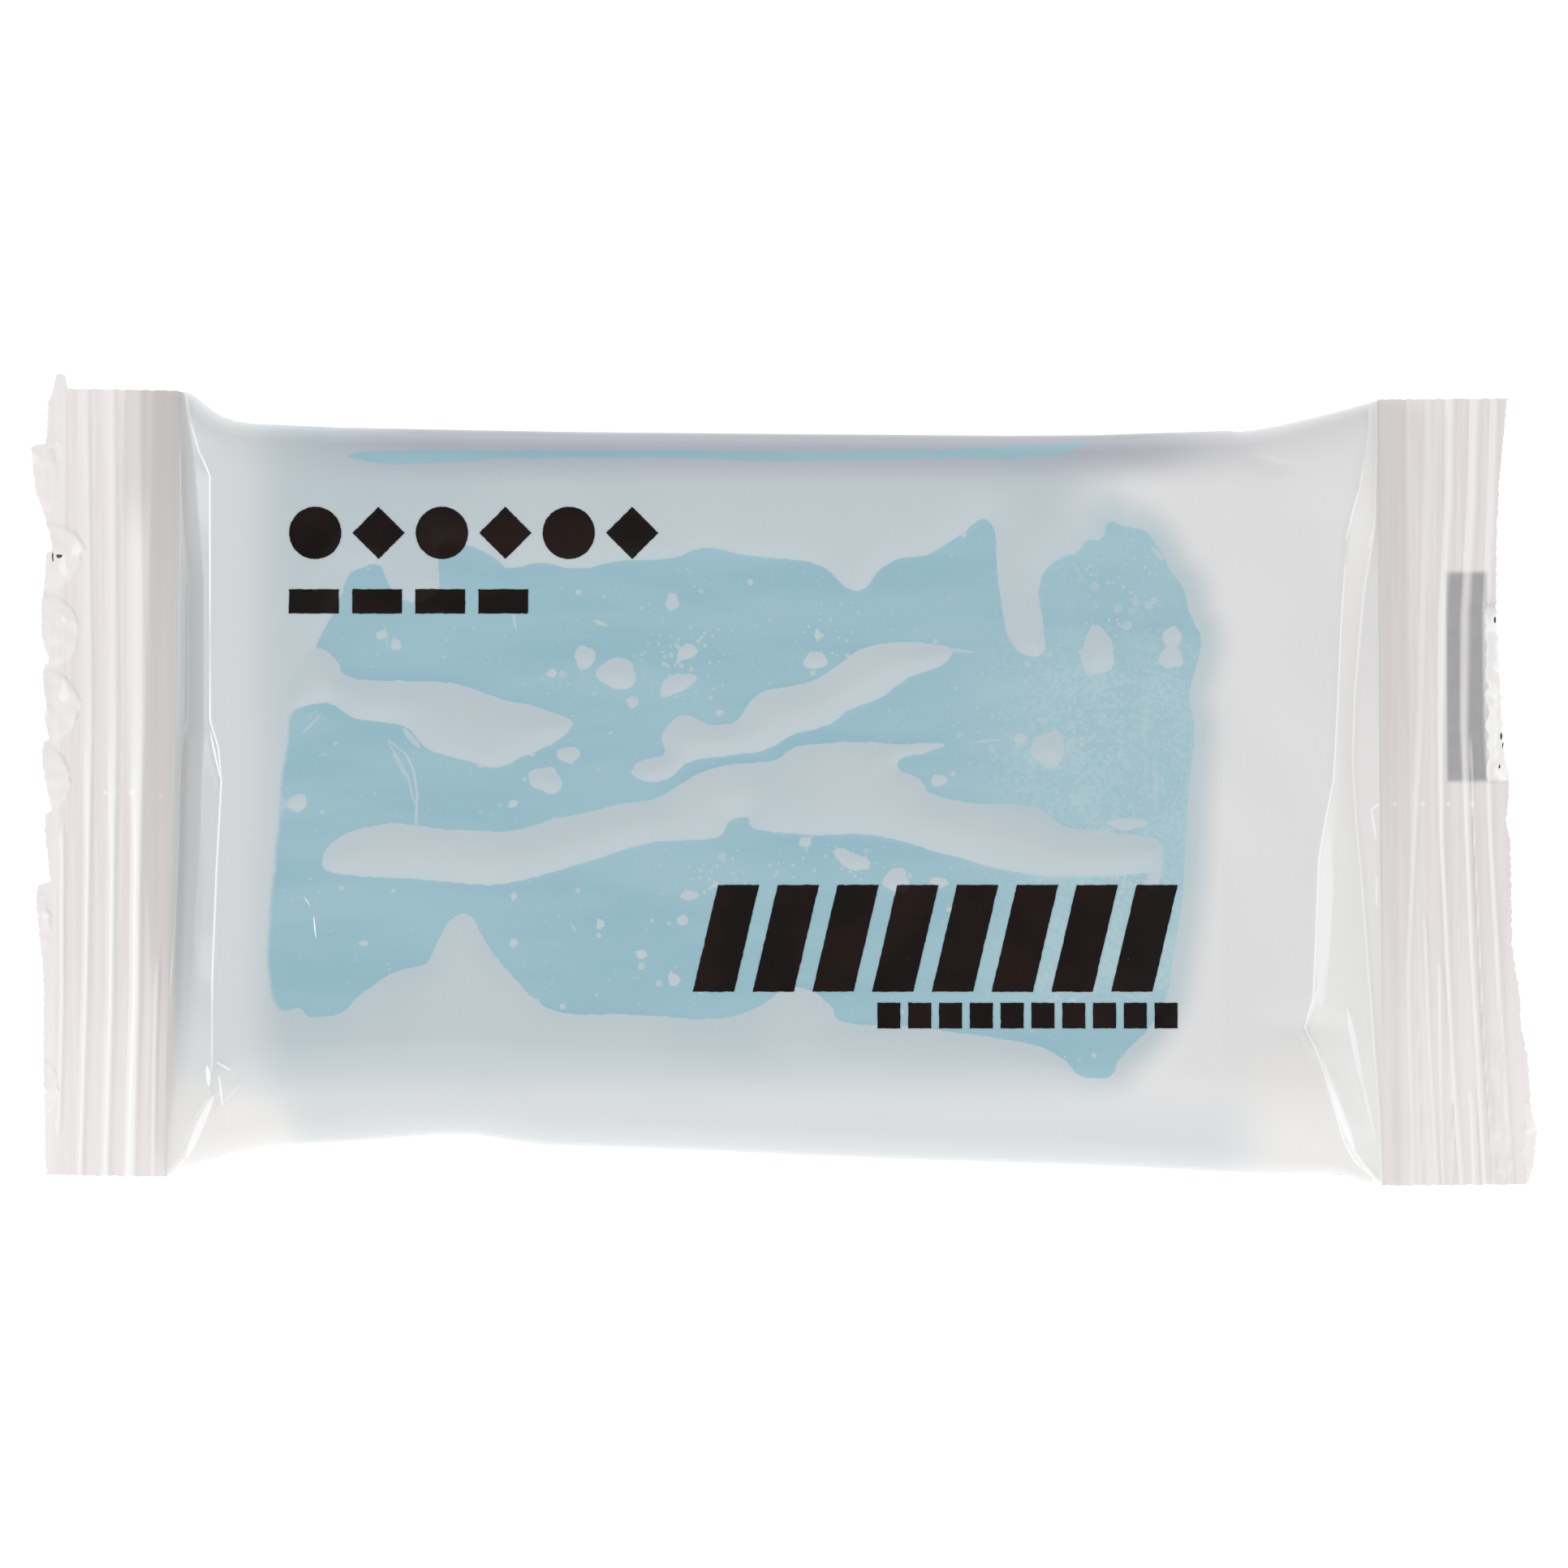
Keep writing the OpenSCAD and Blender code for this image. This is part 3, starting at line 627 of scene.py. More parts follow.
def knurled_fin():
    """The fin's weld: two layers pressed with fine cross ribs, with painted shade in their
    grooves.
    """
    material, shader, w = new_finish("knurled_fin", 0.4)
    cloud = w.grain(120, 3).between(0.3, 0.7)
    tone = cloud.mix(colour(214, 214, 215), colour(224, 223, 224))
    # Painted shade in the ribs' grooves.
    tone = (w.value("groove") * 0.7).mix(tone, colour(186, 185, 187))
    paint(shader, (w.value("press") * 0.25).mix(tone, colour(236, 236, 236)),
          0.32 + 0.14 * w.grain(300, 2))
    add_bump(w, shader, w.grain(1500, 3), 0.15, 0.03)
    return material


def print_ink():
    """Gravure ink: a brown black that has taken the film's gloss, with pinholes."""
    material, shader, w = new_finish("print_ink", 0.3, specular=0.12)
    holes = 1 - w.dots(1400).between(0.04, 0.08)
    tone = w.grain(160, 3).between(0.35, 0.7).mix(colour(13, 7, 6), colour(30, 15, 11))
    holes = holes * w.grain(240, 2).between(0.58, 0.68)
    paint(shader, holes.mix(tone, colour(92, 86, 84)), 0.24 + 0.2 * w.grain(400, 3))
    add_bump(w, shader, w.grain(1600, 2), 0.15, 0.02)
    return material


def mark_ink():
    """The registration mark's matt grey ink."""
    material, shader, w = new_finish("mark_ink", 0.55)
    tone = w.grain(700, 3).between(0.3, 0.7).mix(colour(84, 84, 86), colour(104, 104, 106))
    paint(shader, tone, 0.5 + 0.15 * w.grain(500, 2))
    return material


def soft_clay():
    """Detailing clay: even blue with pale filler grains and a tacky, smeared surface."""
    material, shader, w = new_finish("soft_clay", 0.6)
    tone = w.grain(80, 4).between(0.3, 0.7).mix(colour(92, 158, 178), colour(108, 170, 188))
    grains = (1 - w.dots(1300).between(0.1, 0.2)) * 0.5
    paint(shader, grains.mix(tone, colour(168, 200, 208)), 0.52 + 0.2 * w.grain(260, 3))
    add_bump(w, shader, w.grain(520, 4) + w.grain(90, 2), 0.3, 0.15)
    return material


# ---- film panels

def panel_section(x, b, lower_from, upper_from):
    """Y and rise of a panel at x and share b, for a panel with either, or both, of its bends."""
    upper, lower = along(UPPER_FOLD, x), along(LOWER_FOLD, x)
    low_share = LOWER_SHARE if lower_from is None else 0.0
    high_share = 1 - UPPER_SHARE if upper_from is None else 1.0
    flat_low = lower + LOWER_BEND if lower_from is None else lower_from
    flat_high = upper - UPPER_BEND if upper_from is None else upper_from
    t = (b - low_share) / (high_share - low_share)
    y, up = flat_low + (flat_high - flat_low) * t, np.ones_like(b)
    if lower_from is None:
        m = b < low_share
        reach, lift = lean_section(LOWER_BEND, LOWER_POWER, b[m] / low_share)
        y[m], up[m] = lower[m] + reach, lift
    if upper_from is None:
        m = b > high_share
        t = (1 - b[m]) / (1 - high_share)
        reach, lift = lean_section(UPPER_BEND, UPPER_POWER, t)
        y[m], up[m] = upper[m] - reach, lift
    return y, up


def column_places(spans):
    """For each grid column: which span between two stations it lies in, and how far along."""
    index = np.repeat(np.arange(len(spans)), spans)
    part = np.concatenate([np.arange(n) / n for n in spans])
    return np.append(index, len(spans) - 1), np.append(part, 1.0)


def place_along(a, y, spans):
    """X of each grid point, with the grid's columns following the film's creases."""
    index, part = column_places(spans)
    column = np.rint(a * sum(spans)).astype(int)
    lines = np.array(stations(y))
    near = lines[index[column], np.arange(len(a))]
    far = lines[index[column] + 1, np.arange(len(a))]
    return near + part[column] * (far - near)


def clay_nearness(x, y):
    """1 where the clay lies close behind the film, fading at its worn edges."""
    near = 0.34 + 0.66 * ease((x + 50) / 6)
    outside = -inside_distance(x, y, smooth_loop(WET))
    glow = 1 - ease((outside - 0.2) / 3.4)
    near = near * (1 - ease((x - 22) / 12) * (1 - glow))
    return near * ease((y + 31) / 6.5)


def scratch_offset(x, y):
    """How far to the right of the line of the long fine scratch a point lies."""
    line = along([(-4, -33.1), (-1, -33), (1, -33.3), (2.5, -34), (3.7, -35.6)], y)
    return np.clip(x - line, -2, 2)


def speckle_density(x, y):
    """How thickly small air specks lie in the wet patches."""
    spots = [
        (-9, 11, 5, 4, 1), (-7, -8.5, 6, 3, 0.9), (4, 14, 6, 3, 0.7), (30, 17, 5, 5, 0.8),
        (-20, 9, 5, 4, 0.5), (24, 4, 9, 7, 0.7), (-42, 12, 3, 5, 0.3), (4, -8, 9, 3, 0.7),
        (-12, -17, 6, 3, 0.4), (31, -8, 4, 6, 0.7)
    ]
    density = np.full_like(x, 0.26)
    for cx, cy, rx, ry, full in spots:
        density = np.maximum(density, full * np.exp(-((x - cx) / rx) ** 2 - ((y - cy) / ry) ** 2))
    return density


def front_tone(x, y):
    """Painted shade in warm grey at the left wall's foot and in cool grey up the wall, and painted
    light near white by the right seal.
    """
    lines = stations(y)
    t = (x - lines[0]) / (lines[1] - lines[0])
    foot = (1 - ease((t - 0.08) / 0.2)) * ease((y + 42) / 16)
    # Below the fin's edge, where the film has fewer layers, the foot's painted shade is weaker.
    foot = foot * (0.6 + 0.2 * ease((y + 1.9) / 0.5))
    turned = ease((x - along(LEFT_TURN, y) + 0.1) / (0.2 + 0.8 * ease(-y / 10)))
    wall = ease((t - 0.05) / 0.15) * (1 - 0.25 * ease((t - 0.27) / 0.1)) * (t < 1)
    wall = wall * (1 - 0.5 * turned) * ease((y + 30) / 16) * (1 - 0.35 * ease((y - 15) / 10))
    # Partly the weld's pinkish tint and partly painted light beside the right seal.
    weld = ease((x - lines[6]) / 0.6)
    weld = weld * along([(-40, 0.55), (-8, 0.6), (3, 0.5), (10, 0.3), (20, 0.3), (28, 0.45)], y)
    return foot, wall, weld


def panel_points(a, b, spans, lower_from, upper_from):
    """X, y and rise share of a panel's grid, its outline and its creases settled in turns."""
    x = place_along(a, np.zeros_like(a), spans)
    for _ in range(5):
        y, up = panel_section(x, b, lower_from, upper_from)
        x = place_along(a, y, spans)
    return x, y, up


def make_front_film(material):
    """The front panel, with both folds, and the point values that its finish reads."""
    spans = [40, 150, 12, 16, 6, 10, 12]
    bm, a, b = sheet_grid(sum(spans), 168)
    x, y, up = panel_points(a, b, spans, None, None)
    wet = wet_distance(x, y)
    z = front_z(x, y, up, wet)
    lines = stations(y)
    # Where the painted shade of the upper side wall lies, stronger right at the fold.
    side = ease((y - 26.3) / 3.6) * ease((x + 47) / 16) * (1 - 0.95 * ease((x - 30) / 15))
    side = side * (1 + 0.5 * ease((y - along(UPPER_FOLD, x) + 0.7) / 0.5))
    foot, wall, weld = front_tone(x, y)
    # Painted light at the lower corners and at the top left corner by the upper fold.
    corner_painted_light = (1 - ease((x + 47) / 5)) * ease((-22 - y) / 7)
    corner_painted_light = corner_painted_light + ease((x - 38) / 8) * ease((-20 - y) / 10)
    corner_painted_light = corner_painted_light + 0.8 * ease((y - 28.5) / 2.5) * (1 - ease((x + 51.5) / 6))
    # Painted light: the band between the right creases and the slope down to the right seal.
    band = ease((x - lines[4]) / 0.3) * ease((lines[5] - x) / 0.3) * (lines[5] - lines[4] > 0.4)
    slope = ease((x - lines[4] + 0.1) / 0.3) * ease((lines[6] + 0.35 - x) / 0.3)
    slope = slope * along([(-27, 1), (-22, 0.6), (5, 0.75), (26, 0.75), (32, 0.3)], y)
    white = np.maximum(0.85 * band * (y > -20), slope)
    crest = np.minimum(x - lines[1], lines[4] - x)
    right = ease((x - 12) / 14) * ease((y + 24) / 6) * (1 - 0.7 * ease((y - 9) / 6))
    # Some of these values place painted light and shade: the corner, side, foot, wall, white and
    # weld tones and the crest and slope-foot highlight lines.
    values = [
        ("wet", np.clip(wet, -2, 2)), ("clay", clay_nearness(x, y)), ("side", side),
        ("loose", ease((-27 - y) / 4)), ("corner_painted_light", corner_painted_light), ("right", right),
        ("speckle", speckle_density(x, y)), ("foot", foot), ("wall", wall),
        ("white", white), ("weld", weld),
        ("crest", np.clip(crest, -2, 2) + np.sign(crest) * ease((y - 28) / 1.5)),
        ("slope_foot", np.clip(lines[6] - x, -2, 2)), ("scratch", scratch_offset(x, y))
    ]
    finish_piece(bm, "front_film", zip(x, y, z), material, ["front_film"],
                 FILM_T, -1, values)


def back_z(x, y, up):
    """Height of the back film: flat on the table and lifted where it lies over the fin."""
    over_fin = ease(FIN_EDGE_Y + 1 - y) * (y > FIN_Y - 0.001)
    lift = (FIN_T + 0.04) * over_fin
    r = rise(x, y)
    return FOLD_Z * (1 - r * up) + lift * r * up


BACK_SPANS = [24, 120, 10, 12, 4, 8, 8]


def make_back_film(name, material, rows, lower_from, upper_from):
    """A back panel from one fold to the fin."""
    bm, a, b = sheet_grid(sum(BACK_SPANS), rows)
    x, y, up = panel_points(a, b, BACK_SPANS, lower_from, upper_from)
    z = back_z(x, y, up)
    near = ease((x - clay_low[0]) / 4) * ease((clay_high[0] - x) / 4)
    near = near * ease((y - clay_low[1]) / 4) * ease((clay_high[1] - y) / 4)
    finish_piece(bm, name, zip(x, y, z), material, [name], FILM_T, -1,
                 [("clay", near)], flip=True)


def make_fin_seal(material):
    """The fin lies flat along the back, with cross ribs from the sealing wheel."""
    spans = [24, 380, 40, 40, 6, 10, 10]
    bm, a, b = sheet_grid(sum(spans), 24)
    edge = 0.12 * roughness_at(a * 70, 2, 0)
    y = FIN_Y + b * (FIN_EDGE_Y - FIN_Y + edge * (b > 0.99))
    x = place_along(a, y, spans)
    press = ease((b - 0.12) / 0.06)
    ribs = RIB_H * np.maximum(np.sin(x * 2 * math.pi / RIB_PITCH), 0) * press
    r = rise(x, y)
    z = (FOLD_Z - WELD_T) * (1 - r) + ribs * r
    values = [("groove", ribs / RIB_H), ("press", press)]
    finish_piece(bm, "fin_seal", zip(x, y, z), material, ["fin_seal"],
                 FIN_WALL, -1, values, flip=True)


# ---- end seals

LEFT_EDGE = [
    (-35.5, 10.8), (-24.8, 11.2), (-17.8, 11.3), (-10.8, 12.1), (-9.3, 12), (-9.15, 10.8),
    (-4.8, 11.4), (-2.9, 11.4), (-2.7, 10.8), (1.7, 11.8), (3.6, 11.7), (3.8, 11.2),
    (6.4, 11.7), (6.6, 11.4), (8.6, 11.8), (10.6, 11.8), (10.7, 11.2), (13, 12), (15.7, 12.1),
    (18.5, 11.8), (20.7, 11.7), (20.9, 11.2), (21.4, 11.2), (24.2, 12), (26.2, 12.8),
    (30.3, 13.3), (30.5, 11.9), (34.2, 11.8), (35.5, 11.1)
]
RIGHT_EDGE = [
    (-35.5, 12.9), (-34, 13.5), (-30.8, 13.9), (-29, 13.4), (-24, 13.1), (-21, 12.5),
    (-19, 12.5), (-14, 11.8), (-4.5, 11.7), (-2.5, 11.3), (-0.5, 11.6), (2, 11.6), (3, 11.2),
    (9, 10.9), (16, 10.6), (23, 10.7), (28, 11), (32, 11.4), (35.5, 11.8)
]
# Torn flaps where the left seal's layers have parted: centre height, half height, width.
LEFT_FLAPS = [
    (28, 3.6, 2.2), (20.4, 3, 3.2), (13.8, 3.2, 3.4), (7, 3.2, 3.2), (0.6, 2.8, 2.4),
    (-12.5, 2.8, 1.2), (-27.5, 2.4, 1.4)
]
# The registration mark's two ends along the right seal, and its sides as seen through it.
MARK_LOW, MARK_HIGH = 0.7, 20.1
MARK_IN, MARK_OUT = 5.9, 9.9
# The crimp's ridges, each as y and x along it, with its half width and share of the height.
LEFT_RIDGES = [
    ([(-40, -59), (-20, -58.4), (5, -58.1), (40, -58.4)], 0.6, 1),
    ([(-40, -61.3), (-20, -60.7), (5, -60.4), (40, -60.7)], 0.42, 0.8),
    ([(-40, -63.6), (-20, -63), (5, -62.6), (40, -63.1)], 0.36, 0.75),
    ([(-34, -65.5), (-20, -65.1), (-2, -65.1)], 0.3, 0.6),
    ([(-40, -56.9), (-25, -56.7), (-14, -56.4)], 0.26, 0.45)
]
RIGHT_RIDGES = [
    ([(-40, 56.8), (-25, 56.5), (-17, 56.3), (5, 57.3), (15, 57.5), (25, 57.85), (40, 58.1)],
     0.36, 0.6),
    ([(-40, 61.4), (-25, 60.3), (-5, 59.3), (5, 59.2), (15, 59.4), (25, 59.9), (40, 60.1)],
     0.32, 1),
    ([(-40, 63.4), (-25, 62.6), (-15, 62), (-5, 61.6), (5, 61.3), (15, 61.4), (25, 62),
      (40, 62.4)], 0.35, 1),
    ([(-40, 65.8), (-25, 64.9), (-15, 64.3), (-5, 63.7), (5, 63.4), (15, 63.3), (25, 63.8),
      (40, 64.2)], 0.3, 0.9),
    ([(-40, 64.4), (-25, 63.3), (-15, 62.8), (0, 62.1), (6, 61.9)], 0.16, 0.7),
    ([(-40, 59.5), (-28, 59.3), (-14, 59.1)], 0.25, 0.8),
    ([(-40, 59.1), (-25, 58.3), (-10, 57.7)], 0.26, 0.7),
    ([(-40, 62.4), (-26, 61.9)], 0.4, 1), ([(-40, 65), (-20, 63.6)], 0.12, 0.5),
    ([(-40, 54.5), (-20, 54.1)], 0.25, 0.8), ([(-40, 57.9), (-18, 57.1)], 0.12, 0.4),
    ([(-40, 60.6), (-12, 59.8)], 0.13, 0.5)
]
# Crumbs of the next mark's ink on the cut edges: x, y, half length and half height.
INK_CRUMBS = [
    (-66.05, 20.3, 0.1, 0.5), (-65.45, 20.35, 0.35, 0.16), (64.2, 14.6, 0.12, 0.3),
    (64.75, 4.1, 0.12, 0.35), (64.95, 3.2, 0.12, 0.35), (64.6, 1.35, 0.12, 0.2)
]
# Painted highlights as small bright dots where the edge of the fin's layers crosses the crimp's
# ridges.
FIN_EDGE_GLINTS = [
    (-58.9, -1), (-60.5, -0.9), (-61.3, -1), (-56.3, -1.3),
    (55.2, -2), (57.7, -2), (60, -2), (62.2, -2)
]


def crimp(x, y, ridges, outward):
    """Share of the crimp's height. Each ridge has a crisp inner edge and falls away outwards."""
    height = np.zeros_like(x)
    upper = ease((y + 8) / 20)
    for points, half, full in ridges:
        s = outward * (x - along(points, y)) / (half * (0.8 + 0.65 * upper))
        ends = ease((y - points[0][0]) / 4) * ease((points[-1][0] - y) / 4) * (1 - 0.35 * upper)
        height = np.maximum(height, full * ends * ease(s + 1) * (1 - ease((s - 0.2) / 1.8)))
    return height


def seal_wave(out, v):
    """The slow wave and droop of an end seal, which has nothing under it."""
    wave = 0.12 * np.sin(v * 0.17 + 1.3) * ease(out / 8)
    return wave - 0.2 * ease((out - 4) / 9) * (v / HALF_FLAT) ** 2


def seal_point(side, out, v):
    """X and y of an end seal at a distance out from its inner edge and a height v along it."""
    if side == "left":
        across, base_x, base_y, turn = -out, LEFT_X, LEFT_Y, math.radians(-1)
    else:
        across, base_x, base_y, turn = out, RIGHT_X, RIGHT_Y, math.radians(0.5)
    x = base_x + across * math.cos(turn) - v * math.sin(turn)
    y = base_y + across * math.sin(turn) + v * math.cos(turn)
    return x, y


def torn_flaps(out, v, edge):
    """Lift and pale rims of the flaps where the left seal's layers have parted."""
    lift, rim = np.zeros_like(v), np.zeros_like(v)
    for middle, half, width in LEFT_FLAPS:
        t = np.clip(1 - ((v - middle) / half) ** 2, 0, 1)
        inner = edge - width * np.sqrt(t)
        inside = ease((out - inner) / 0.3) * (t > 0)
        lift = np.maximum(lift, inside * t ** 0.5)
        rim = np.maximum(rim, inside * np.clip(1 - (out - inner) / 0.55, 0, 1) * t ** 0.3)
    return lift, rim


def make_end_seal(side, material):
    """A crimped end: the grid is even over the crimp and stretches to the ragged cut edge."""
    rows, columns, fixed, band = 330, 84, 70, 9.6
    left = side == "left"
    bm, a, b = sheet_grid(columns, rows)
    v = (b - 0.5) * 2 * HALF_FLAT
    edge = along(LEFT_EDGE if left else RIGHT_EDGE, v)
    saw = roughness_at(v * 1.7, 5 if left else 9, 0)
    edge = edge + 0.16 * saw - 0.09 * np.abs(((v / 0.8) % 1) * 2 - 1)
    step = fixed / columns
    out = np.where(a < step, a / step * band, band + (a - step) / (1 - step) * (edge - band))
    ends = roughness_at(out * 1.9, 3, np.sign(v))
    reach = v + 0.12 * ends * (np.abs(v) > HALF_FLAT - 0.01)
    if left:
        reach = reach + 1.3 * ease((out - 10) / 0.3) * ease((v - 34.6) / 0.9)
    x, y = seal_point(side, out, reach)
    crest = crimp(x, y, LEFT_RIDGES, -1) if left else crimp(x, y, RIGHT_RIDGES, 1)
    crest = crest * ease((out - 0.3) / 0.5)
    z = FOLD_Z + seal_wave(out, v) + CRIMP_H * crest
    crinkle = roughness_at(x * 0.9, y * 0.7, 4)
    rim = np.zeros_like(v)
    if left:
        lift, rim = torn_flaps(out, v, edge)
        z = z + lift * (0.22 + 0.16 * crinkle)
        rim = np.maximum(rim, lift * ease((crinkle - 0.25) / 0.2) * 0.8)
        start = along([(-35, 2), (-20, 1.6), (-8, 2.5), (35, 2.7)], y)
        deep = [(-34, 0.05), (-25, 0.18), (-8, 0.38), (3, 0.46), (10, 0.5), (25, 0.62)]
        shade = ease((start - out) / 0.5) * along(deep, y) * (1 - 0.2 * ease(1.6 - out))
        shade = np.maximum(shade, 0.4 * ease((y - 20) / 8) * ease((5.2 - out) / 0.6))
        pale = 0.15 + 0.35 * ease((-14 - y) / 14) + 0.5 * np.maximum(ease((out - 9.8) / 0.6), lift)
        mark = np.zeros_like(v)
    else:
        torn = ease((out - 9.5 - 0.5 * crinkle) / 0.2) * ease(v - 0.5) * ease((17.5 - v) / 2)
        curl = ease((out - 12.6 - 0.5 * crinkle) / 0.2) * (v < -28)
        rim = np.maximum(torn, curl) * (0.55 + 0.45 * ease((crinkle + 0.1) / 0.2))
        shadow = 0.4 * np.exp(-((torn - 0.25) / 0.2) ** 2)
        z = z + 0.2 * rim
        deep = [(-18, 0.04), (-8, 0.09), (3, 0.19), (10, 0.25)]
        shade = ease((2.75 - out) / 0.3) * along(deep, y)
        # Painted shade: a soft dark line near the seal's inner edge low down, added to the painted
        # shadow beside the torn rim.
        soft_shade_line = 0.2 * np.exp(-((out - 1.2) / 0.5) ** 2) * ease((-8 - y) / 12)
        shade = shade + soft_shade_line + shadow
        pale = 0.85 * ease((-6 - y) / 24)
        mark = ease((v - MARK_LOW) / 0.5) * ease((MARK_HIGH - v) / 0.5)
        mark = mark * ease((out - MARK_IN) / 0.25) * ease((MARK_OUT - out) / 0.25)
        # The mark is thinned over the ridges so that their painted highlight shows through it.
        mark = mark * (1 - 0.65 * ease(crest * 1.3)) * (1 - torn)
    # Painted highlights: small bright dots where the fin's edge crosses the ridges.
    dots = sum(np.exp(-((x - cx) ** 2 + (y - cy) ** 2) / 0.03) for cx, cy in FIN_EDGE_GLINTS)
    crumbs = np.zeros_like(v)
    for cx, cy, rx, ry in INK_CRUMBS:
        crumbs = np.maximum(crumbs, 1.6 - np.hypot((x - cx) / rx, (y - cy) / ry))
    # The ridge value is a painted highlight on the crimp's ridges and at the fin-edge dots, and
    # also lightens the torn rims.
    values = [
        ("ridge", np.clip(np.maximum(crest, rim) + dots, 0, 1)), ("pale", pale),
        ("shade", shade), ("mark", mark), ("crumb", np.clip(crumbs, 0, 1))
    ]
    name = side + "_end_seal"
    finish_piece(bm, name, zip(x, y, z), material, [name],
                 WELD_T, -1, values, flip=left)


def make_eye_mark(material):
    """The mark's ink on the back of the right seal, from beside the fin upwards."""
    bm, a, b = sheet_grid(30, 60)
    low = FIN_EDGE_Y - RIGHT_Y
    v = low + b * (MARK_HIGH - low)
    inner, width = 6.1, 3.6
    out = inner + a * width
    x, y = seal_point("right", out, v)
    z = FOLD_Z + seal_wave(out, v) + CRIMP_H * crimp(x, y, RIGHT_RIDGES, 1) - WELD_T - MARK_GAP
    finish_piece(bm, "eye_mark", zip(x, y, z), material, ["eye_mark"],
                 MARK_T, 1, flip=True)


# ---- print

def shape_outline(kind, w, h):
    """Corners of one plain printed shape about its middle, anticlockwise."""
    if kind == "disc":
        turns = [i * math.pi / 24 for i in range(48)]
        return [(h / 2 * math.cos(t), h / 2 * math.sin(t)) for t in turns]
    if kind == "diamond":
        return [(-w / 2, 0), (0, -h / 2), (w / 2, 0), (0, h / 2)]
    if kind == "slant":
        return [(-w / 2, -h / 2), (w * 0.12, -h / 2), (w / 2, h / 2), (-w * 0.12, h / 2)]
    tall = h * 0.42 if kind == "dash" else h
    return [(-w / 2, -tall / 2), (w / 2, -tall / 2), (w / 2, tall / 2), (-w / 2, tall / 2)]


def in_order(items):
    """Each valid item once, in the order in which it first comes."""
    return list(dict.fromkeys(item for item in items if item.is_valid))


def add_shape(bm, kind, cx, cy, w, h):
    """A fine flat grid cut down to the shape, edge by edge."""
    cell = 0.3
    size = max(w, h) + 0.6
    count = max(4, int(size / cell))
    grid = bmesh.ops.create_grid(bm, x_segments=count, y_segments=count, size=size / 2)
    verts = grid["verts"]
    outline = shape_outline(kind, w, h)
    for (ax, ay), (bx, by) in zip(outline, outline[1:] + outline[:1]):
        edges = in_order(e for v in verts for e in v.link_edges)
        faces = in_order(f for v in verts for f in v.link_faces)
        cut = bmesh.ops.bisect_plane(
            bm, geom=verts + edges + faces, plane_co=(ax, ay, 0), plane_no=(by - ay, ax - bx, 0),
            clear_outer=True)
        fresh = [g for g in cut["geom_cut"] if isinstance(g, bmesh.types.BMVert)]
        verts = in_order(verts + fresh)
    bmesh.ops.translate(bm, verts=verts, vec=(cx, cy, 0))


def make_print(name, kinds, h, gap, material):
    """A row of printed shapes over its node's place, lying on the film."""
    low, high = box_mm(name)
    length = high[0] - low[0]
    w = (length - gap * (len(kinds) - 1)) / len(kinds)
    middle = (low[1] + high[1]) / 2
    bm = bmesh.new()
    for i, kind in enumerate(kinds):
        add_shape(bm, kind, low[0] + w / 2 + i * (w + gap), middle, w, h)
    bmesh.ops.remove_doubles(bm, verts=bm.verts, dist=0.005)
    points = np.array([v.co[:] for v in bm.verts])
    edge = np.array([any(e.is_boundary for e in v.link_edges) for v in bm.verts])
    x, y = points[:, 0], points[:, 1]
    x, y = [place + 0.05 * edge * roughness_at(x * 5, y * 5, k) for place, k in ((x, 1), (y, 7))]
    z = front_z(x, y, np.ones_like(x), wet_distance(x, y)) + INK_LIFT
    bm.verts.ensure_lookup_table()
    finish_piece(bm, name, zip(x, y, z), material, [name], INK_T, 1)


# ---- clay

def make_clay(material):
    """The clay block: worn edges, a slightly lumpy surface and the fin's dent in its back."""
    size = [high - low for low, high in zip(clay_low, clay_high)]
    middle = [(high + low) / 2 for low, high in zip(clay_low, clay_high)]
    worn = 4
    bm = bmesh.new()
    bmesh.ops.create_cube(bm, size=1)
    bmesh.ops.scale(bm, vec=size, verts=bm.verts)
    bmesh.ops.bevel(bm, geom=bm.edges[:] + bm.verts[:], offset=worn, segments=5,
                    profile=0.5, affect="EDGES", material=-1)
    long_edges = [e for e in bm.edges if e.calc_length() > 10]
    bmesh.ops.subdivide_edges(bm, edges=long_edges, cuts=40, use_grid_fill=True)
    points = np.array([v.co[:] for v in bm.verts])
    inward = -points / np.linalg.norm(points, axis=1)[:, None]
    lumps = np.array([noise.fractal(Vector(p * 0.09), 1.0, 2.0, 4) for p in points])
    points += inward * (0.12 + 0.12 * np.clip(lumps, -1, 1))[:, None]
    points += middle
    under = points[:, 2] < clay_low[2] + 1
    over_fin = (points[:, 1] > FIN_Y - 1) & (points[:, 1] < FIN_EDGE_Y + 1)
    points[under & over_fin, 2] = np.maximum(points[under & over_fin, 2], FIN_T + 0.5)
    finish_piece(bm, "clay_bar", points, material, ["clay_bar"])


# ---- build

film = milky_film()
back = back_milky_film()
crimped = crimped_film()
ink = print_ink()

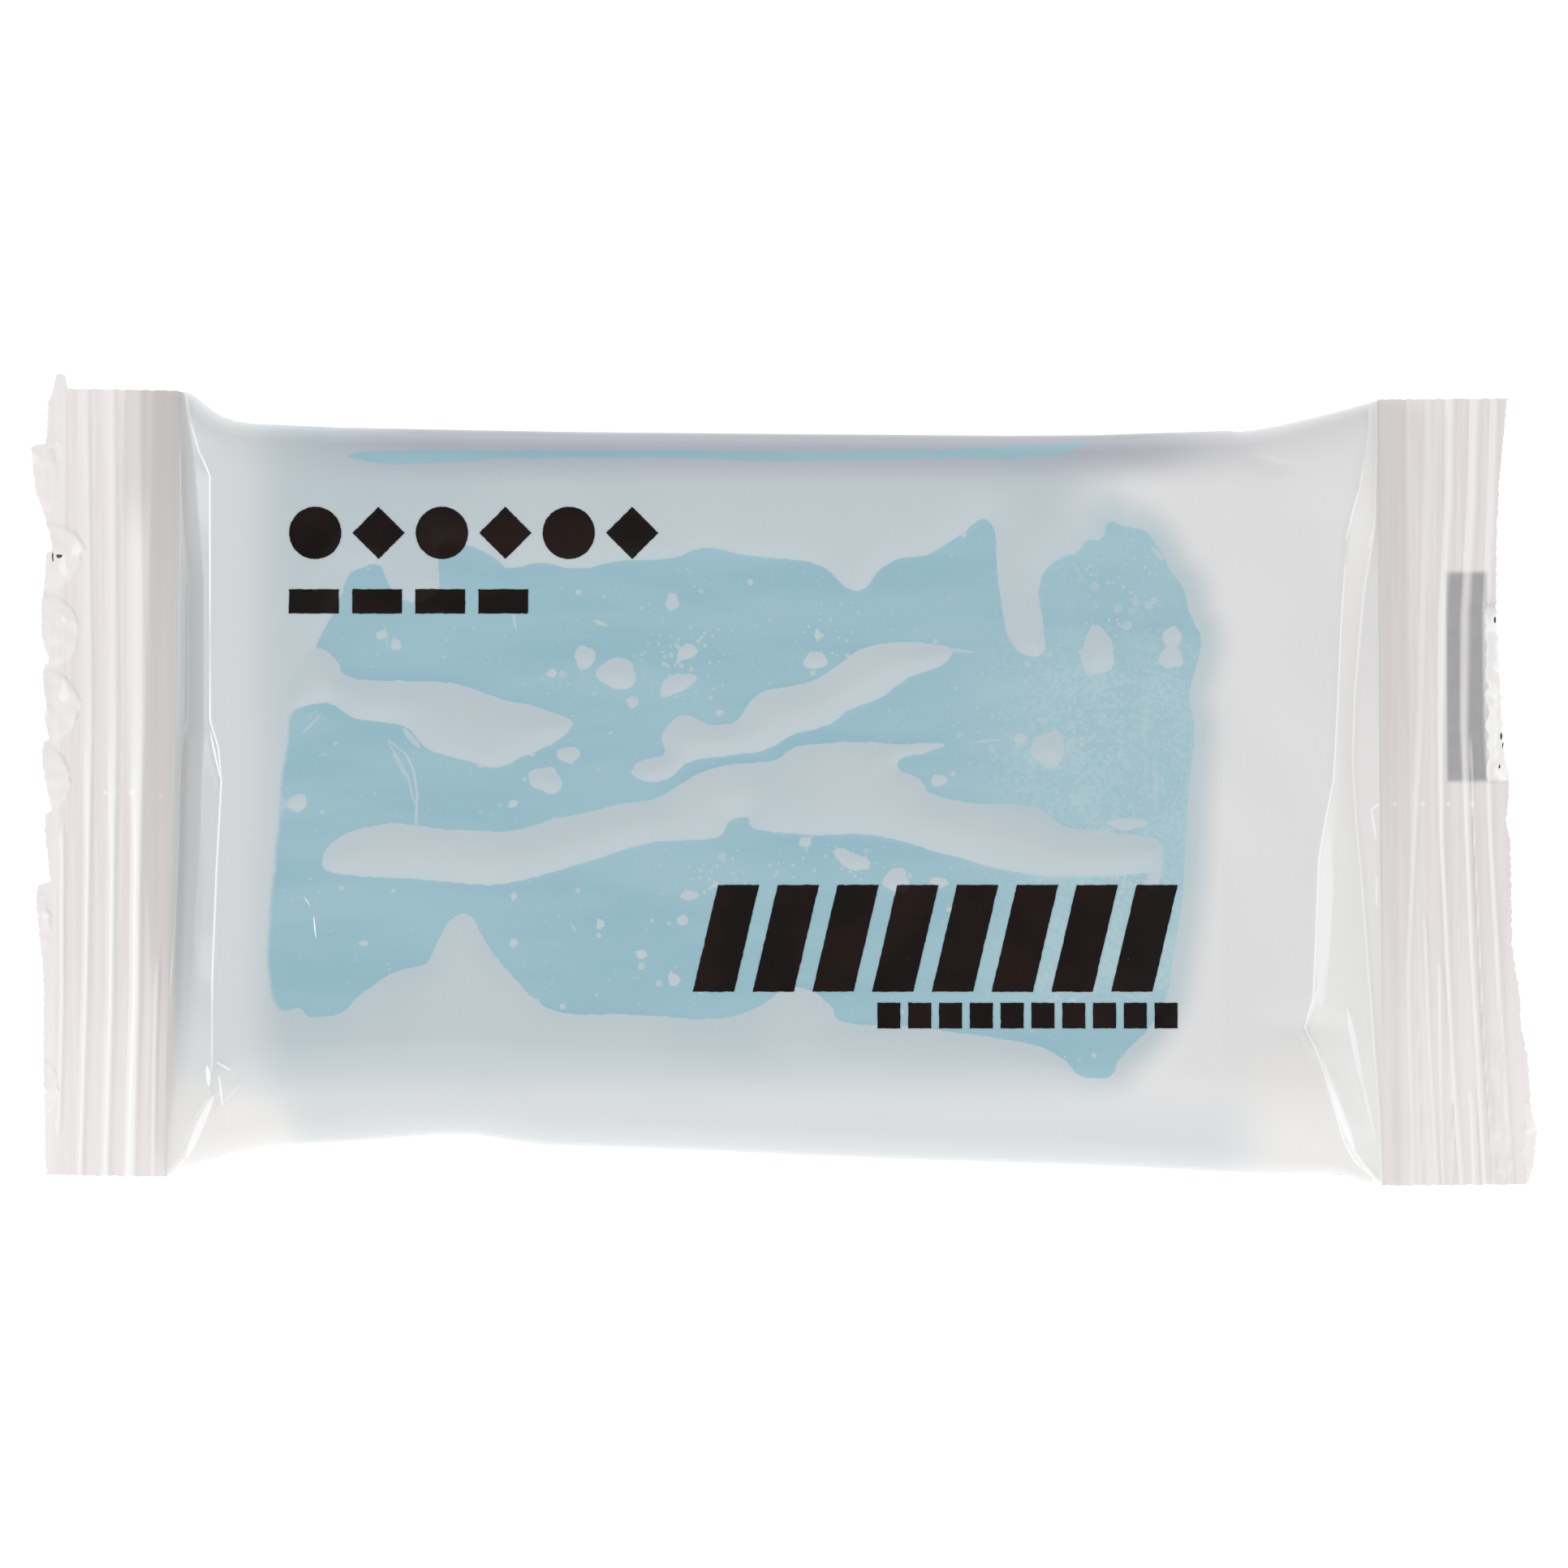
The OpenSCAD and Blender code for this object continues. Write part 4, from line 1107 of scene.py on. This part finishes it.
make_clay(soft_clay())
make_front_film(film)
make_back_film("back_film_upper", back, 90, FIN_Y, None)
make_back_film("back_film_lower", back, 80, None, FIN_Y)
make_fin_seal(knurled_fin())
make_end_seal("left", crimped)
make_end_seal("right", crimped)
make_eye_mark(mark_ink())
make_print("title_print", ["disc", "diamond"] * 3, 4.7, 1, ink)
make_print("subtitle_print", ["dash"] * 4, 5.2, 1.2, ink)
make_print("emblem_print", ["slant"] * 8, 9.6, -0.6, ink)
make_print("tagline_print", ["tile"] * 10, 2.3, 0.7, ink)


# ---- stage, light and camera

def make_floor():
    """A plain white table, lit a little from within so that it shows hardly any shadow."""
    bm = bmesh.new()
    bmesh.ops.create_grid(bm, x_segments=1, y_segments=1, size=1.5)
    mesh = bpy.data.meshes.new("floor")
    bm.to_mesh(mesh)
    bm.free()
    floor = add_object("floor", mesh)
    floor.location.z = -0.1 * MM
    material, shader, w = new_finish("white_table", 0.9, specular=0)
    join(w.grain(20, 2).mix((0.95, 0.95, 0.95, 1), (0.97, 0.97, 0.97, 1)), shader, "Base Color")
    shader.inputs["Emission Color"].default_value = (1, 1, 1, 1)
    shader.inputs["Emission Strength"].default_value = 0.4
    mesh.materials.append(material)


def add_panel_light(name, place, size, power):
    """A square soft light that faces the sachet."""
    light = bpy.data.lights.new(name, "AREA")
    light.shape, light.size, light.energy = "SQUARE", size, power
    panel = add_object(name, light)
    panel.location = place
    panel.rotation_euler = (-Vector(place)).to_track_quat("-Z", "Y").to_euler()


def make_camera():
    """Straight above on a long lens, with the sachet nearly filling the width."""
    width, middle_y = 141.6 * MM, -0.22 * MM
    lens = bpy.data.cameras.new("camera")
    lens.sensor_width, lens.lens = 36, 400
    camera = add_object("camera", lens)
    distance = width * lens.lens / lens.sensor_width
    camera.location = (0, middle_y, distance + FOLD_Z * MM)
    bpy.context.scene.camera = camera


make_floor()
make_camera()
add_panel_light("key", (0.3, -0.5, 0.8), 1.0, 3.5)
add_panel_light("left_strip", (-0.7, 0.05, 0.4), 0.3, 1.1)
world = bpy.data.worlds.new("room")
world.use_nodes = True
world.node_tree.nodes["Background"].inputs[0].default_value = (1, 1, 1, 1)
world.node_tree.nodes["Background"].inputs[1].default_value = 0.66
bpy.context.scene.world = world
bpy.context.scene.view_settings.view_transform = "Standard"
